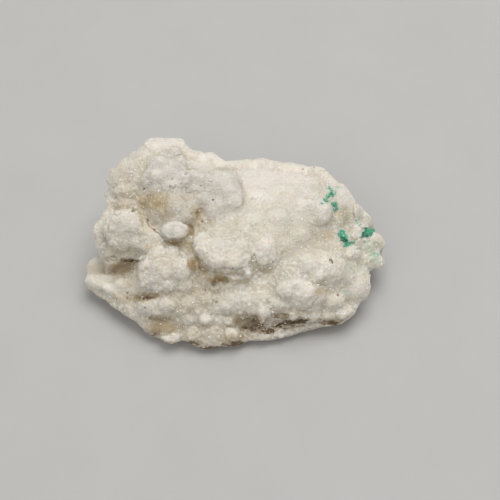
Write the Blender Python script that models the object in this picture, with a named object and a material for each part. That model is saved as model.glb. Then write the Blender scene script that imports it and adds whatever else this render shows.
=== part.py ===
"""White aragonite: a knobbly, cave-grown crust of carbonate, broken from its rock and lying on
its trimmed underside, with small crusts of a green copper mineral at one end.

Metres, +Z up. The origin is on the base plane, under the middle of the specimen. +X runs along
the specimen's length towards the green end, and +Y runs away from the long, lumpy front slope.

The specimen is laid out on a sloping reference plane, as a sculptor would work from one chosen
side: a place on its outside is (u, v), two numbers from 0 to 500 across and down that plane, and
its height above the base in millimetres. sight_point() turns those into a place in space.
"""

import math
import random

import bmesh
import bpy
import numpy as np
from mathutils import Matrix, Vector
from mathutils.bvhtree import BVHTree

# ---- Driving dimensions -------------------------------------------------------------------
LENGTH = 0.090  # the specimen's longest side, along X
SIGHT_ELEVATION = math.radians(55.0)  # the reference side is seen from this far above level
SIGHT_DISTANCE = 0.330
UNIT = 0.0003  # one unit of u or v at the aim point
AIM = Vector((0.0041, -0.0034, 0.012))
CENTRE_UV = (235.0, 247.0)  # the middle of the outline

VOXEL = 0.0006  # the step at which the lobes are fused into one solid
SOFTEN = 2  # smoothing passes after fusing
FACES = 8000  # triangles of the finished solid
BASE_TRIM = 0.0  # the underside is trimmed flat at this height
CRUST_GAP = 0.0003  # between a green crust and the white surface under it

# ---- The outline of the reference side, clockwise from the top left ------------------------
OUTLINE = (
    (150, 138), (158, 137.5), (167, 138), (175, 138), (183, 139), (187, 145), (192, 150),
    (200, 151), (204, 153), (208, 152), (213, 152), (218, 156), (222, 159), (226, 161),
    (233, 160.5), (240, 160), (247, 159), (253, 160), (258, 158), (264, 158), (270, 160),
    (277, 161), (284, 163), (290, 162), (298, 164), (304, 165), (308, 167), (313, 166),
    (321, 167), (325, 169), (330, 174), (335, 179), (339, 183), (343, 183.5), (348, 189),
    (352, 195), (355, 200), (355.3, 204.3), (358.5, 204.5), (362, 207), (363.5, 210.5), (367, 213), (370, 216), (372, 219.5),
    (372.3, 223), (371, 226.2), (367.4, 228.6), (371, 231), (375.5, 232.3), (380, 234.8), (383, 238.3), (385.3, 241.8),
    (386.3, 244.8), (384.8, 248.2), (381, 249.8), (378.2, 251.6), (380.4, 255.2), (383.2, 258.5), (384.6, 262), (384, 266), (381.5, 269.8),
    (377, 268.8), (373, 269.5), (369.5, 271.5), (366.5, 273.2), (371, 275), (370, 278), (370.2, 282), (371, 287), (369.5, 293), (366, 299), (361, 302), (358, 307),
    (355, 314), (349, 319), (341, 324), (331, 326.5), (321, 327.5), (312, 330), (301, 333),
    (291, 336), (281, 338.5), (271, 340.5), (259, 341), (249, 341), (243, 344), (235, 346.5),
    (226, 346.5), (218, 347.5), (210, 349), (203, 349.5), (197, 347), (190, 343.5),
    (182, 340.5), (177, 342.5), (171, 344), (165, 342), (160, 339), (152, 336.5), (145, 332),
    (140, 326), (134, 320.5), (126, 316.5), (119, 311), (112, 307), (106, 300.5),
    (99, 297.5), (92, 291.5), (86, 287.5), (84.5, 281), (87, 275), (86, 268), (90, 260.5),
    (96, 256.5), (101, 258), (98, 251), (95, 246), (95, 239), (92.5, 230), (96, 222.5),
    (100, 219.5), (102, 214), (103.5, 209.5), (106, 210.5), (107, 207), (108, 204), (106, 200),
    (104.5, 196), (103.5, 193), (106.5, 193), (107.5, 189.5), (108.5, 186), (107, 183), (106, 180),
    (107.5, 178), (109.5, 176.5), (109.5, 173), (111, 169), (113.5, 168), (116, 168), (117, 165.5),
    (119, 162.5), (121.5, 160), (125, 157.5), (129, 157), (130.5, 153), (132.5, 151), (134.5, 151.2),
    (135.8, 152.8), (137, 150), (139, 147.5), (141, 146), (143, 145), (145, 142),
)

# ---- Heights of the outside above the base, in mm, at places on the reference side ---------
RELIEF = (
    # the left end, with the low lip under the overhanging knobs
    (90, 262, 8.5), (88, 280, 7), (95, 290, 5), (95, 231, 18.5), (97, 246, 16),
    (106, 182, 21), (104, 200, 21), (101, 218, 20), (106, 235, 20), (106, 250, 16),
    (108, 266, 7), (105, 282, 8.5), (105, 297, 5),
    (118, 165, 24), (120, 185, 27), (120, 205, 24), (123, 226, 24), (122, 246, 19),
    (120, 265, 6.5), (120, 281, 10), (120, 299, 7.5), (122, 311, 5),
    # the shoulder and the front slope below it
    (135, 152, 24), (140, 166, 28), (140, 185, 28.5), (141, 205, 25), (142, 226, 23.5),
    (140, 246, 20), (134, 263, 10), (147, 270, 18), (150, 284, 16.5), (152, 289, 15.2), (166, 284, 17.2), (148, 297, 11),
    (142, 307, 9), (140, 318, 6), (146, 329, 4),
    (165, 138, 22), (163, 149, 26), (160, 163, 31), (170, 176, 31.5), (165, 189, 31), (150, 189, 30),
    (157, 204, 27.3), (176, 214, 27.6), (165, 198, 29.6), (149, 198, 28), (182, 201, 29.2), (155, 226, 23.5), (175, 231, 25.5), (176, 244, 21),
    (165, 256, 22), (166, 276, 18.5), (184, 268, 20), (178, 284, 17.6), (187, 277, 17.8), (166, 291, 14.5), (165, 304, 12.5), (164, 317, 8.5),
    (163, 328, 5.5), (171, 341, 3.5),
    (192, 150, 23), (190, 162, 24), (192, 178, 29.5), (190, 196, 28), (193, 212, 25.5),
    (203, 181, 29), (197, 189, 28.5), (184, 174, 30.5),
    (193, 228, 21.5), (193, 245, 20.5), (190, 262, 17.5), (196, 275, 15.5), (200, 290, 14.5),
    (200, 305, 12), (200, 320, 9), (195, 335, 5), (205, 347, 3),
    # the high rounded lobes over the middle, and the long lump with its hollow below
    (215, 154, 21), (224, 163, 21), (221, 179, 27), (228, 192, 27.5), (225, 210, 26),
    (220, 226, 24.5), (212, 244, 24.5), (228, 256, 23.5), (243, 264, 21.5), (222, 281.5, 14),
    (225, 271, 20.2), (226, 276.5, 18.8), (240, 273, 19.4), (212, 271, 19.4), (211, 276, 17.8),
    (225, 266, 22.6), (210, 263, 22), (238, 268, 21.3),
    (225, 291, 14.5), (225, 307, 12), (225, 321, 8), (230, 335, 5.5), (230, 345, 3),
    (245, 160, 19), (250, 171, 22), (249, 190, 24.5), (250, 210, 25), (250, 230, 24),
    (265, 252, 22.5), (263, 270, 17.5), (252, 283, 15.5), (255, 298, 13.5), (262, 312, 10.5),
    (252, 317, 9), (254, 323, 5), (246, 324, 6), (262, 330, 4.4), (270, 332, 4), (258, 336, 4),
    (262, 341, 3),
    # the smooth back slope and the front lumps at the right
    (285, 163, 18), (285, 176, 21), (285, 195, 23.5), (285, 215, 24), (290, 240, 22),
    (295, 262, 20), (298, 284, 18), (295, 300, 14.5), (290, 314, 9.5), (292, 318, 8.6), (292, 323.5, 4.8),
    (276, 319, 8.4), (276, 326, 5), (305, 318, 8), (306, 323.5, 5.4), (290, 336, 3.5),
    (315, 168, 16.5), (315, 181, 20), (318, 205, 23), (318, 222, 21.5), (322, 238, 18),
    (315, 262, 19.5), (320, 280, 16.5), (318, 293, 13), (325, 305, 10.5), (325, 318, 7),
    (320, 328, 4),
    (335, 180, 16), (345, 200, 19), (345, 220, 17.5), (345, 239, 16.5), (350, 256, 15.5),
    (345, 275, 14.5), (345, 294, 11), (345, 310, 7.5), (348, 319, 5),
    (356, 205, 15), (363, 215, 15.5), (360, 234, 14.5), (366, 230, 13.5), (371, 230.5, 11.5), (378, 241, 12),
    (370, 252, 11), (377, 251, 8.5), (378, 262, 10.5), (372, 269, 9), (362, 275, 12), (365, 290, 9.5), (360, 302, 6.5),
)

# ---- The swellings: broad, shallow domes that groups of lobes sit on ------------------------
# Rows as for the lobes below.
SWELLINGS = (
    (127, 181, 20, 22, 0, 0.25), (166, 175, 22, 17, 0, 0.2), (222, 195, 20, 24, 0, 0.2),
    (196, 182, 17, 12, 0, 0.2), (173, 208, 25, 18, 0, 0.2), (122, 229, 19, 19, 0, 0.2),
    (116, 248, 20, 12, 0, 0.3), (162, 270, 24, 20, 0, 0.15), (222, 254, 28, 16, 14, 0.25),
    (165, 305, 28, 12, 0, 0.2), (266, 250, 15, 17, 0, 0.2), (302, 294, 24, 15, 5, 0.2),
    (320, 267, 28, 18, 8, 0.2), (337, 208, 24, 22, 0, 0.25), (355, 287, 17, 17, 0, 0.2),
    (366, 222, 14, 18, 20, 0.4), (370, 254, 15, 16, 0, 0.5), (212, 334, 28, 12, 0, 0.3),
    (240, 300, 26, 13, 0, 0.2), (104, 283, 20, 9, 12, 0.4),
)

# ---- The lobes: u, v, half width, half height, turn in degrees, how far it stands out -------
# How far it stands out is the share of the lobe's own depth that stands proud of the surface
# there. A seventh number, where there is one, is its depth against its width.
LOBES = (
    # upper left shoulder
    (134, 170, 11, 12, 0, 0.4), (122, 177, 10, 11, 0, 0.4), (114, 190, 8, 10, 0, 0.4),
    (127, 192, 12, 9, 0, 0.35), (139, 184, 9, 11, 0, 0.35), (113, 205, 8, 8, 0, 0.4),
    (126, 204, 11, 8, 0, 0.3), (108, 217, 7, 7, 0, 0.4), (127, 165, 8, 6, 20, 0.3),
    (145, 159, 9, 9, 0, 0.3), (150, 148, 12, 8, 0, 0.25), (172, 145, 12, 6, 0, 0.25),
    (139, 205, 8, 7, 0, 0.3), (131, 174, 6, 6, 0, 0.7),
    # the glassy lobes standing highest, low and flat on top with crisp edges
    (175.5, 154, 5.5, 7, 0, 0.95, 0.9), (179, 166, 8.5, 10, 0, 0.75, 0.6), (159, 165.5, 11, 10, 0, 0.75, 0.6),
    (150, 180.5, 8.5, 11, 0, 0.5, 0.5), (167, 177, 12, 12, 0, 0.55, 0.42), (181, 180, 9, 9, 0, 0.5, 0.5),
    (158, 177, 9, 9, 0, 0.7, 0.55), (193, 179, 9, 9, 0, 0.75, 0.6), (204, 182, 9, 9, 0, 0.75, 0.55),
    (218, 182, 10.5, 11.5, 0, 0.75, 0.55), (230.5, 184, 11, 13, 0, 0.8, 0.55), (225, 193, 14.5, 13, 0, 0.55, 0.5),
    (231, 204, 11, 12, 0, 0.4, 0.45), (216, 208, 11, 12, 0, 0.45, 0.45), (236, 198, 7, 12, 0, 0.6, 0.65),
    (205, 198, 9, 10, 0, 0.45, 0.5), (192, 191, 11, 8, 0, 0.35, 0.5), (172, 186, 10, 7, 0, 0.2, 0.45),
    # below them
    (174, 206, 11, 14, 0, 0.5), (189, 214, 9, 10, 0, 0.45), (157, 212, 10, 12, 0, 0.35),
    (191, 202, 9, 8, 0, 0.4), (205, 223, 10, 8, 0, 0.35), (147, 200, 9, 7, 0, 0.15),
    # the glassy disc
    (175, 230.5, 14, 8.5, 0, 0.7, 0.36),
    # the knobs at the left
    (125.5, 225.5, 16, 16, 0, 0.5, 0.5), (131, 221, 9, 9, 0, 0.35, 0.5), (117, 228, 8, 10, 0, 0.4),
    (101, 231, 8.5, 10, 0, 0.5), (111, 249, 11, 9, 0, 0.55), (100, 244, 5.5, 8, 0, 0.45),
    (131, 250, 12, 8, 0, 0.5), (148, 235, 9, 10, 0, 0.4), (149, 247, 8, 6, 0, 0.4),
    (136, 241, 8, 7, 0, 0.4), (116, 239, 8, 8, 0, 0.4), (124, 245, 7, 6, 0, 0.4),
    # the low lip at the left
    (97, 267, 11, 11, 0, 0.45), (101, 284, 18, 6, 16, 0.55), (92, 280, 7, 7, 0, 0.45),
    (114, 291, 15, 6, 27, 0.5), (124, 299, 12, 5, 30, 0.35), (113, 300, 9, 4, 30, 0.3),
    (128, 309, 8, 4, 30, 0.3), (124, 285, 10, 6, 20, 0.25),
    # the big front lump
    (158, 255, 10, 9, 0, 0.45), (171, 254, 9, 9, 0, 0.45), (149.5, 276, 11, 13, 0, 0.6, 0.55), (180, 269, 11, 12, 0, 0.55, 0.6),
    (148, 262, 9, 8, 0, 0.45), (169, 284, 9, 7, 0, 0.5), (184, 285, 8.5, 8, 0, 0.35),
    (167, 271, 9, 8, 0, 0.6), (183, 257, 7, 8, 0, 0.4), (156, 268, 7, 7, 0, 0.5),
    (174, 262, 6, 6, 0, 0.5), (160, 288, 8, 6, 0, 0.4),
    # lower middle
    (169, 304, 12, 8, 0, 0.5), (147, 308, 11, 7, 0, 0.45), (133, 308, 8, 8, 0, 0.4),
    (188, 303, 11, 9, 0, 0.35), (163, 326, 19, 8, 0, 0.35), (172, 339, 10, 5, 0, 0.75),
    (176, 336, 6, 4, 0, 0.8), (147, 325, 9, 6, 25, 0.35), (205, 318.5, 7, 6, 0, 0.55),
    (193, 334, 9, 9.5, 0, 0.6), (212, 333, 9, 7.5, 0, 0.5), (231, 335, 10, 8, 0, 0.6),
    (228, 321, 6.5, 5.5, 0, 0.6), (205, 341.5, 5.5, 4.5, 0, 0.6), (215, 341, 5.5, 4, 0, 0.55), (224, 342, 6, 3.6, 0, 0.4),
    (190, 318, 9, 6, 0, 0.3), (207, 299, 12, 8, 0, 0.3), (228, 305, 12, 8, 0, 0.3),
    (245, 301, 11, 9, 0, 0.35), (219, 319, 8, 7, 0, 0.35), (183, 311, 6, 5, 0, 0.4),
    (157, 309, 6, 5, 0, 0.4), (218, 309, 6, 5, 0, 0.35), (197, 310, 5, 4.5, 0, 0.4),
    # the long lump over the hollow
    (203.5, 243, 10, 11.5, 0, 0.65), (218, 259.5, 10, 8.5, 0, 0.6, 0.5), (232, 260.5, 11, 8.5, 5, 0.6, 0.5), (242, 263.5, 7, 7, 0, 0.6, 0.55),
    (247.5, 272, 4, 6, 0, 1.1, 0.95), (210, 260, 8, 7, 0, 0.5), (224, 245, 11, 7, 0, 0.45),
    (240, 247, 9, 8, 0, 0.45), (265, 248, 9, 12, 0, 0.5), (263, 261, 7, 5, 0, 0.5),
    (241, 267, 7, 5, 0, 0.5), (228, 268, 9, 5, 0, 0.3), (270, 243, 4.5, 5, 0, 0.6),
    # the smooth middle and back slope
    (250, 224, 18, 14, 0, 0.12), (276, 222, 18, 14, 0, 0.12), (257, 202, 18, 13, 0, 0.1),
    (284, 197, 18, 13, 0, 0.1), (296, 238, 16, 13, 0, 0.15), (302, 210, 14, 12, 0, 0.12),
    (242, 233, 12, 10, 0, 0.15), (283, 247, 14, 12, 0, 0.2),
    # the right end
    (320, 213, 12.5, 14, 0, 0.5), (331, 197, 10, 12, 0, 0.45), (344, 203, 12, 19, 0, 0.45),
    (336, 220, 8, 10, 0, 0.35), (363, 216, 9.5, 12.5, -25, 0.7, 0.75), (357, 232, 8.5, 10.5, 0, 0.6),
    (377.5, 241.5, 8.8, 9, 0, 0.95, 0.8), (366, 233, 6, 6, 0, 0.35), (376.5, 261, 8.6, 8.8, 0, 0.95, 0.8),
    (370, 251, 8, 7, 0, 0.35), (351, 254, 10, 9, 0, 0.45), (363, 246, 9, 9, 0, 0.4),
    (364, 262, 10, 9, 0, 0.45), (343, 241, 8, 9, 0, 0.3), (350, 222, 8, 9, 0, 0.35),
    (308, 265, 12, 12, 0, 0.35), (327, 270, 15, 11, 10, 0.45), (335, 257, 8, 7, 0, 0.35),
    (304, 291, 13.5, 11, 6, 0.75, 0.55), (287, 289, 11, 9, 0, 0.45, 0.6), (278, 303, 11, 8, 10, 0.35),
    (316, 276, 8, 7, 0, 0.35), (297, 284, 6, 5, 0, 0.5), (309, 285, 6, 5, 0, 0.4),
    (312, 304, 10, 8, 0, 0.4), (331, 301, 14, 9, 0, 0.35), (343, 313, 11, 7.5, -15, 0.6),
    (355, 287, 14, 14, 0, 0.45), (343, 276, 11, 9, 0, 0.35), (354, 304, 8, 9, 0, 0.5),
    (327, 316, 11, 6, -10, 0.45), (313, 314, 8, 8, 0, 0.55), (293.5, 314.5, 5.5, 6, 0, 0.75),
    (262, 298, 13, 10, 0, 0.35), (262, 286, 12, 8, 0, 0.2),
    # the drip and the ragged ledge at the foot
    (262, 309, 5.5, 9, 0, 0.8, 0.95), (262, 316, 3.4, 8.5, 0, 1.5, 0.95), (250, 311, 6, 6, 0, 0.6), (243, 314, 5, 5, 0, 0.6),
    (272, 313, 4.5, 5, 0, 0.5), (281, 314.5, 5, 4.5, 0, 0.5), (287, 311, 5, 5, 0, 0.5), (303, 316, 5, 4, 0, 0.5),
    (252, 338, 6, 3.2, 0, 0.5), (244, 338.5, 4, 3.2, -20, 0.6), (262, 338, 5, 2.6, 0, 0.4), (272, 336, 5, 3.2, -10, 0.5),
    (281, 334, 6, 4.2, -12, 0.65), (290, 332, 5, 3.2, -12, 0.5), (299, 329, 5, 3.6, -12, 0.6), (308, 326.5, 6, 3, -12, 0.5),
    (317, 324.5, 5, 2.8, -10, 0.5), (307, 321, 5.5, 3, -5, 0.4), (268, 326, 5, 3, -20, 0.4), (240, 332, 4, 6, 0, 0.4),
)

# ---- Where the outside is smooth rather than knobbly: u, v, reach across, reach down --------
SMOOTH_ZONES = (
    (262, 190, 62, 38), (205, 158, 26, 14), (300, 232, 36, 30), (345, 206, 16, 20),
    (322, 214, 14, 12), (120, 266, 18, 9), (98, 270, 14, 10), (163, 325, 18, 8),
    (330, 298, 20, 12), (356, 287, 14, 14), (222, 192, 20, 20), (175, 230, 16, 10),
    (166, 172, 22, 18), (197, 182, 14, 11), (104, 284, 20, 9), (118, 293, 14, 8),
    (174, 206, 12, 14), (165, 146, 20, 8), (378, 241, 9, 9), (377, 262, 8, 8), (363, 214, 9, 12),
)

# ---- The green crusts: name, then the beads in each (u, v, reach, height in mm) -------------
GREEN_CRUSTS = (
    ("green_crust_upper", ((324, 201, 3.4, 0.5), (328, 197, 3.6, 0.6), (331.5, 194, 3.6, 0.6), (330, 189, 3.0, 0.4))),
    ("green_crust_inner", ((334.5, 204, 3.0, 0.6), (335.5, 208, 2.8, 0.5))),
    ("green_crust_middle", ((341, 233.5, 3.2, 0.6), (343.5, 238, 4.4, 0.9), (346.5, 243.5, 3.6, 0.6))),
    ("green_crust_end", ((364, 233.5, 3.4, 0.8), (368, 231.5, 4.4, 0.9), (372, 230.5, 3.2, 0.6))),
)
CRUST_RIM = 0.00018  # how thick a green crust is at its edge


# ---- Geometry -------------------------------------------------------------------------------
RIGHT = Vector((1, 0, 0))
FORWARD = Vector((0, math.cos(SIGHT_ELEVATION), -math.sin(SIGHT_ELEVATION)))
UP = Vector((0, math.sin(SIGHT_ELEVATION), math.cos(SIGHT_ELEVATION)))
EYE = AIM - FORWARD * SIGHT_DISTANCE
FOCAL = SIGHT_DISTANCE / UNIT


def sight_ray(u, v):
    """The direction from the eye through (u, v), with a forward part of 1."""
    return FORWARD + RIGHT * ((u - 250) / FOCAL) + UP * ((250 - v) / FOCAL)


def sight_point(u, v, height):
    """The place at (u, v) that lies height metres above the base."""
    ray = sight_ray(u, v)
    return EYE + ray * ((height - EYE.z) / ray.z)


def sight_place(points):
    """(u, v) of an array of places, and how many metres one unit of u is at each."""
    away = np.atleast_2d(points) - np.array(EYE)
    depth = away @ np.array(FORWARD)
    u = 250 + FOCAL * (away @ np.array(RIGHT)) / depth
    v = 250 - FOCAL * (away @ np.array(UP)) / depth
    return u, v, depth / FOCAL


def inside_outline(u, v, loop=OUTLINE):
    """How far each (u, v) lies inside the outline or another loop, negative outside it."""
    loop = np.array(loop, float)
    step = np.roll(loop, -1, 0) - loop
    rel = np.stack([u, v], 1)[:, None] - loop
    share = np.clip((rel * step).sum(2) / (step * step).sum(1), 0, 1)
    gap = np.sqrt(((rel - share[..., None] * step) ** 2).sum(2)).min(1)
    upward = (loop[:, 1] <= v[:, None]) != (np.roll(loop[:, 1], -1) <= v[:, None])
    across = loop[:, 0] + (v[:, None] - loop[:, 1]) / np.where(step[:, 1] == 0, 1e-9, step[:, 1]) * step[:, 0]
    inside = (upward & (across > u[:, None])).sum(1) % 2 == 1
    return np.where(inside, gap, -gap)


def thin_plate(rows):
    """A smooth function of (u, v) that passes near each row's third number."""
    at = np.array([r[:2] for r in rows], float) / 100
    value = np.array([r[2] for r in rows], float)
    n = len(at)

    def kernel(d2):
        return 0.5 * d2 * np.log(d2 + 1e-12)

    a = np.zeros((n + 3, n + 3))
    a[:n, :n] = kernel(((at[:, None] - at[None]) ** 2).sum(2)) + np.eye(n) * 2e-4
    a[:n, n] = a[n, :n] = 1
    a[:n, n + 1 :] = at
    a[n + 1 :, :n] = at.T
    weights = np.linalg.solve(a, np.concatenate([value, np.zeros(3)]))

    def height(u, v):
        q = np.array([u, v], float) / 100
        k = kernel(((at - q) ** 2).sum(1))
        return max(0.0015, float(k @ weights[:n] + weights[n] + q @ weights[n + 1 :]) / 1000)

    return height


relief = thin_plate(RELIEF)


def surface_point(u, v):
    return sight_point(u, v, relief(u, v))


def surface_normal(u, v, step=2.5):
    a = surface_point(u + step, v) - surface_point(u - step, v)
    b = surface_point(u, v - step) - surface_point(u, v + step)
    n = a.cross(b).normalized()
    return n if n.dot(FORWARD) < 0 else -n


class Heap:
    """Closed shells gathered as plain arrays of corners and triangles."""

    def __init__(self):
        self.corners, self.faces, self.count = [], [], 0
        self.balls = {d: self.unit_ball(d) for d in (2, 3, 4)}

    @staticmethod
    def unit_ball(detail):
        bm = bmesh.new()
        bmesh.ops.create_icosphere(bm, subdivisions=detail, radius=1.0)
        corners = np.array([v.co[:] for v in bm.verts])
        faces = np.array([[v.index for v in f.verts] for f in bm.faces])
        bm.free()
        return corners, faces

    def add(self, corners, faces):
        self.corners.append(np.asarray(corners, float))
        self.faces.append(np.asarray(faces) + self.count)
        self.count += len(corners)

    def add_ball(self, matrix, detail=3):
        m = np.array(matrix)
        corners, faces = self.balls[detail]
        self.add(corners @ m[:3, :3].T + m[:3, 3], faces)

    def mesh(self, name):
        corners, faces = np.concatenate(self.corners), np.concatenate(self.faces)
        mesh = bpy.data.meshes.new(name)
        mesh.vertices.add(len(corners))
        mesh.vertices.foreach_set("co", corners.ravel())
        mesh.loops.add(faces.size)
        mesh.loops.foreach_set("vertex_index", faces.ravel())
        mesh.polygons.add(len(faces))
        mesh.polygons.foreach_set("loop_start", np.arange(0, faces.size, 3))
        mesh.update(calc_edges=True)
        return mesh


def lobe_matrix(u, v, a, b, turn, stand, thick=0.78):
    """Places a unit ball as a lobe.

    a and b are its half width and half height in units of the reference side, turned by turn
    degrees, and it stands out of the surface by the share stand of its depth.
    """
    here = surface_point(u, v)
    near = (here - EYE).length / SIGHT_DISTANCE
    wide, high = a * UNIT * near, b * UNIT * near
    deep = math.sqrt(wide * high) * thick
    slant = max(0.4, -surface_normal(u, v).dot(FORWARD))
    centre = here + sight_ray(u, v).normalized() * (deep * (1 - stand) / slant)
    axes = Matrix((RIGHT, UP, -FORWARD)).transposed().to_4x4()
    spin = Matrix.Rotation(math.radians(-turn), 4, "Z")
    return Matrix.Translation(centre) @ axes @ spin @ Matrix.Diagonal((wide, high, deep, 1))


def outline_points(step=3.0):
    """The outline walked in even steps, each with the direction inwards."""
    loop = [Vector(p) for p in OUTLINE]
    walked = []
    for i, p in enumerate(loop):
        q = loop[(i + 1) % len(loop)]
        count = max(1, round((q - p).length / step))
        walked += [p.lerp(q, k / count) for k in range(count)]
    n = len(walked)
    found = []
    for i, p in enumerate(walked):
        along = (walked[(i + 2) % n] - walked[i - 2]).normalized()
        found.append((p, Vector((-along.y, along.x))))
    return found


def outline_radius(angle):
    """How far the outline lies from its centre at an angle, smoothed over a few degrees."""
    cu, cv = CENTRE_UV
    at = np.array(OUTLINE, float) - (cu, cv)
    gap = (np.arctan2(at[:, 1], at[:, 0]) - angle + math.pi) % (2 * math.pi) - math.pi
    w = np.exp(-((gap / 0.05) ** 2)) + 1e-9
    return float((w * np.hypot(at[:, 0], at[:, 1])).sum() / w.sum())


def tuck(down, behind):
    """How far the side turns in, as a share of the way to the middle, at a depth below the rim."""
    return (0.02 + 0.2 * down * down) * (1 - 0.72 * behind) - 0.07 * behind * math.sin(math.pi * down)


def add_core(heap, spokes=72, rings=11):
    """The body under the lobes: the relief as a cap, sides that turn in under it, and a foot."""
    cu, cv = CENTRE_UV
    cap = []
    for j in range(1, rings + 1):
        ring = []
        for k in range(spokes):
            angle = 2 * math.pi * k / spokes
            inset = 7 - 3 * max(0.0, -math.sin(angle))
            reach = (outline_radius(angle) - inset) * j / rings
            u, v = cu + reach * math.cos(angle), cv + reach * math.sin(angle)
            ring.append(surface_point(u, v) - surface_normal(u, v) * 0.0004)
        cap.append(ring)
    rim = cap[-1]
    centre = sum(rim, Vector()) / len(rim)
    for down in (0.15, 0.4, 0.7, 1.0):
        ring = []
        for p in rim:
            share = tuck(down, max(0.0, min(1.0, (p.y - centre.y) / 0.02)))
            ring.append(p.lerp(Vector((centre.x, centre.y, p.z)), share))
            ring[-1].z = p.z * (1 - down) - 0.003 * down
        cap.append(ring)
    corners = [surface_point(cu, cv), Vector((centre.x, centre.y, -0.003))]
    corners += [p for ring in cap for p in ring]
    faces = []
    last = 2 + (len(cap) - 1) * spokes
    for k in range(spokes):
        k2 = (k + 1) % spokes
        faces += [(0, 2 + k2, 2 + k), (1, last + k, last + k2)]
        for j in range(len(cap) - 1):
            a, b = 2 + j * spokes, 2 + (j + 1) * spokes
            faces += [(a + k, a + k2, b + k2), (a + k, b + k2, b + k)]
    heap.add(corners, faces)


def add_rim_beads(heap, rng):
    """Beads along the outline: small round the front, ragged at its foot, broad and sunk at the back."""
    for p, inward in outline_points():
        broad = p.x > 140 and inward.y > 0.3
        ragged = p.x > 140 and p.y > 300
        size = rng.uniform(6.0, 8.0) if broad else rng.uniform(2.4, 4.4) if ragged else rng.uniform(4.2, 6.4)
        u, v = p + inward * size
        here = surface_point(u, v)
        r = size * UNIT * (here - EYE).length / SIGHT_DISTANCE
        sunk = r * (1.05 if broad else 0.55)
        heap.add_ball(Matrix.Translation(here + sight_ray(u, v).normalized() * sunk) @ Matrix.Scale(r, 4))


def add_side_lobes(heap, rng, count=230):
    """Lobes round the sides and the back, below what the reference side shows."""
    cu, cv = CENTRE_UV
    middle = surface_point(cu, cv)
    for _ in range(count):
        angle = rng.uniform(-math.pi, math.pi)
        reach = outline_radius(angle) - 8
        rim = surface_point(cu + reach * math.cos(angle), cv + reach * math.sin(angle))
        down = rng.uniform(0.12, 0.95)
        r = rng.uniform(0.0018, 0.0046) * (1.15 if rim.z > 0.012 else 0.75)
        inward = Vector((middle.x - rim.x, middle.y - rim.y, 0))
        at = rim + inward * tuck(down, max(0.0, min(1.0, (rim.y - middle.y) / 0.02)))
        at.z = rim.z * (1 - down)
        at += inward.normalized() * r * rng.uniform(0.3, 0.65)
        for _ in range(30):
            u, v, unit = sight_place(at)
            if inside_outline(u, v)[0] > r / unit[0] + 0.5:
                break
            at += inward.normalized() * 0.0003
        squash = [r * rng.uniform(0.9, 1.1), r * rng.uniform(0.9, 1.1), r * rng.uniform(0.8, 1.05), 1]
        heap.add_ball(Matrix.Translation(at) @ Matrix.Diagonal(squash))


def lobes_mesh():
    """Every ball and the core as one loose mesh, still overlapping."""
    rng = random.Random(7)
    heap = Heap()
    add_core(heap)
    for row in SWELLINGS:
        heap.add_ball(lobe_matrix(*row, thick=0.5), 4)
    for row in LOBES:
        heap.add_ball(lobe_matrix(*row), 4)
    add_rim_beads(heap, rng)
    add_side_lobes(heap, rng)
    return heap.mesh("lobes")


def mesh_arrays(mesh):
    """The corners and triangles of a mesh as arrays."""
    corners = np.empty(len(mesh.vertices) * 3)
    mesh.vertices.foreach_get("co", corners)
    mesh.calc_loop_triangles()
    faces = np.empty(len(mesh.loop_triangles) * 3, np.int32)
    mesh.loop_triangles.foreach_get("vertices", faces)
    return corners.reshape(-1, 3), faces.reshape(-1, 3)


def knobbliness(points, normals):
    """1 where the outside is knobbly and 0 where it is smooth."""
    u, v, _ = sight_place(points)
    smooth = np.zeros(len(points))
    for zu, zv, across, along in SMOOTH_ZONES:
        d = ((u - zu) / across) ** 2 + ((v - zv) / along) ** 2
        smooth = np.maximum(smooth, np.clip(1.6 - 1.3 * d, 0, 1))
    return 1 - smooth * np.clip(0.3 - normals @ np.array(FORWARD) * 2, 0, 1)


def add_knobs(heap, mesh, seed, count, spacing, sizes, stand):
    """Small knobs scattered over a mesh, no two nearer than spacing, fewer where it is smooth."""
    rng = np.random.default_rng(seed)
    corners, faces = mesh_arrays(mesh)
    a, b, c = (corners[faces[:, i]] for i in range(3))
    n = np.cross(b - a, c - a)
    area = np.linalg.norm(n, axis=1)
    n /= np.maximum(area, 1e-18)[:, None]
    pick = np.searchsorted(np.cumsum(area), rng.random(count) * area.sum())
    s, t = rng.random(count), rng.random(count)
    over = s + t > 1
    s[over], t[over] = 1 - s[over], 1 - t[over]
    at = a[pick] + (b[pick] - a[pick]) * s[:, None] + (c[pick] - a[pick]) * t[:, None]
    n = n[pick]
    wanted = (rng.random(count) < knobbliness(at, n)) & (at[:, 2] > 0.0015) & (n[:, 2] > -0.75)
    taken = {}
    for p, m in zip(at[wanted], n[wanted]):
        cell = tuple((p // spacing).astype(int))
        near = [q for dx in (-1, 0, 1) for dy in (-1, 0, 1) for dz in (-1, 0, 1)
                for q in taken.get((cell[0] + dx, cell[1] + dy, cell[2] + dz), ())]
        if any(((p - q) ** 2).sum() < spacing**2 for q in near):
            continue
        taken.setdefault(cell, []).append(p)
        r = rng.uniform(*sizes)
        centre = p - m * r * (1 - rng.uniform(*stand))
        shape = Matrix.Diagonal((*(rng.uniform(0.85, 1.15, 3) * r), 1))
        u, v, unit = sight_place(centre)
        if inside_outline(u, v)[0] < r / unit[0] - 0.6:
            continue
        heap.add_ball(Matrix.Translation(Vector(centre)) @ shape, 2)


def evaluated(obj):
    graph = bpy.context.evaluated_depsgraph_get()
    return bpy.data.meshes.new_from_object(obj.evaluated_get(graph), depsgraph=graph)


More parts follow.
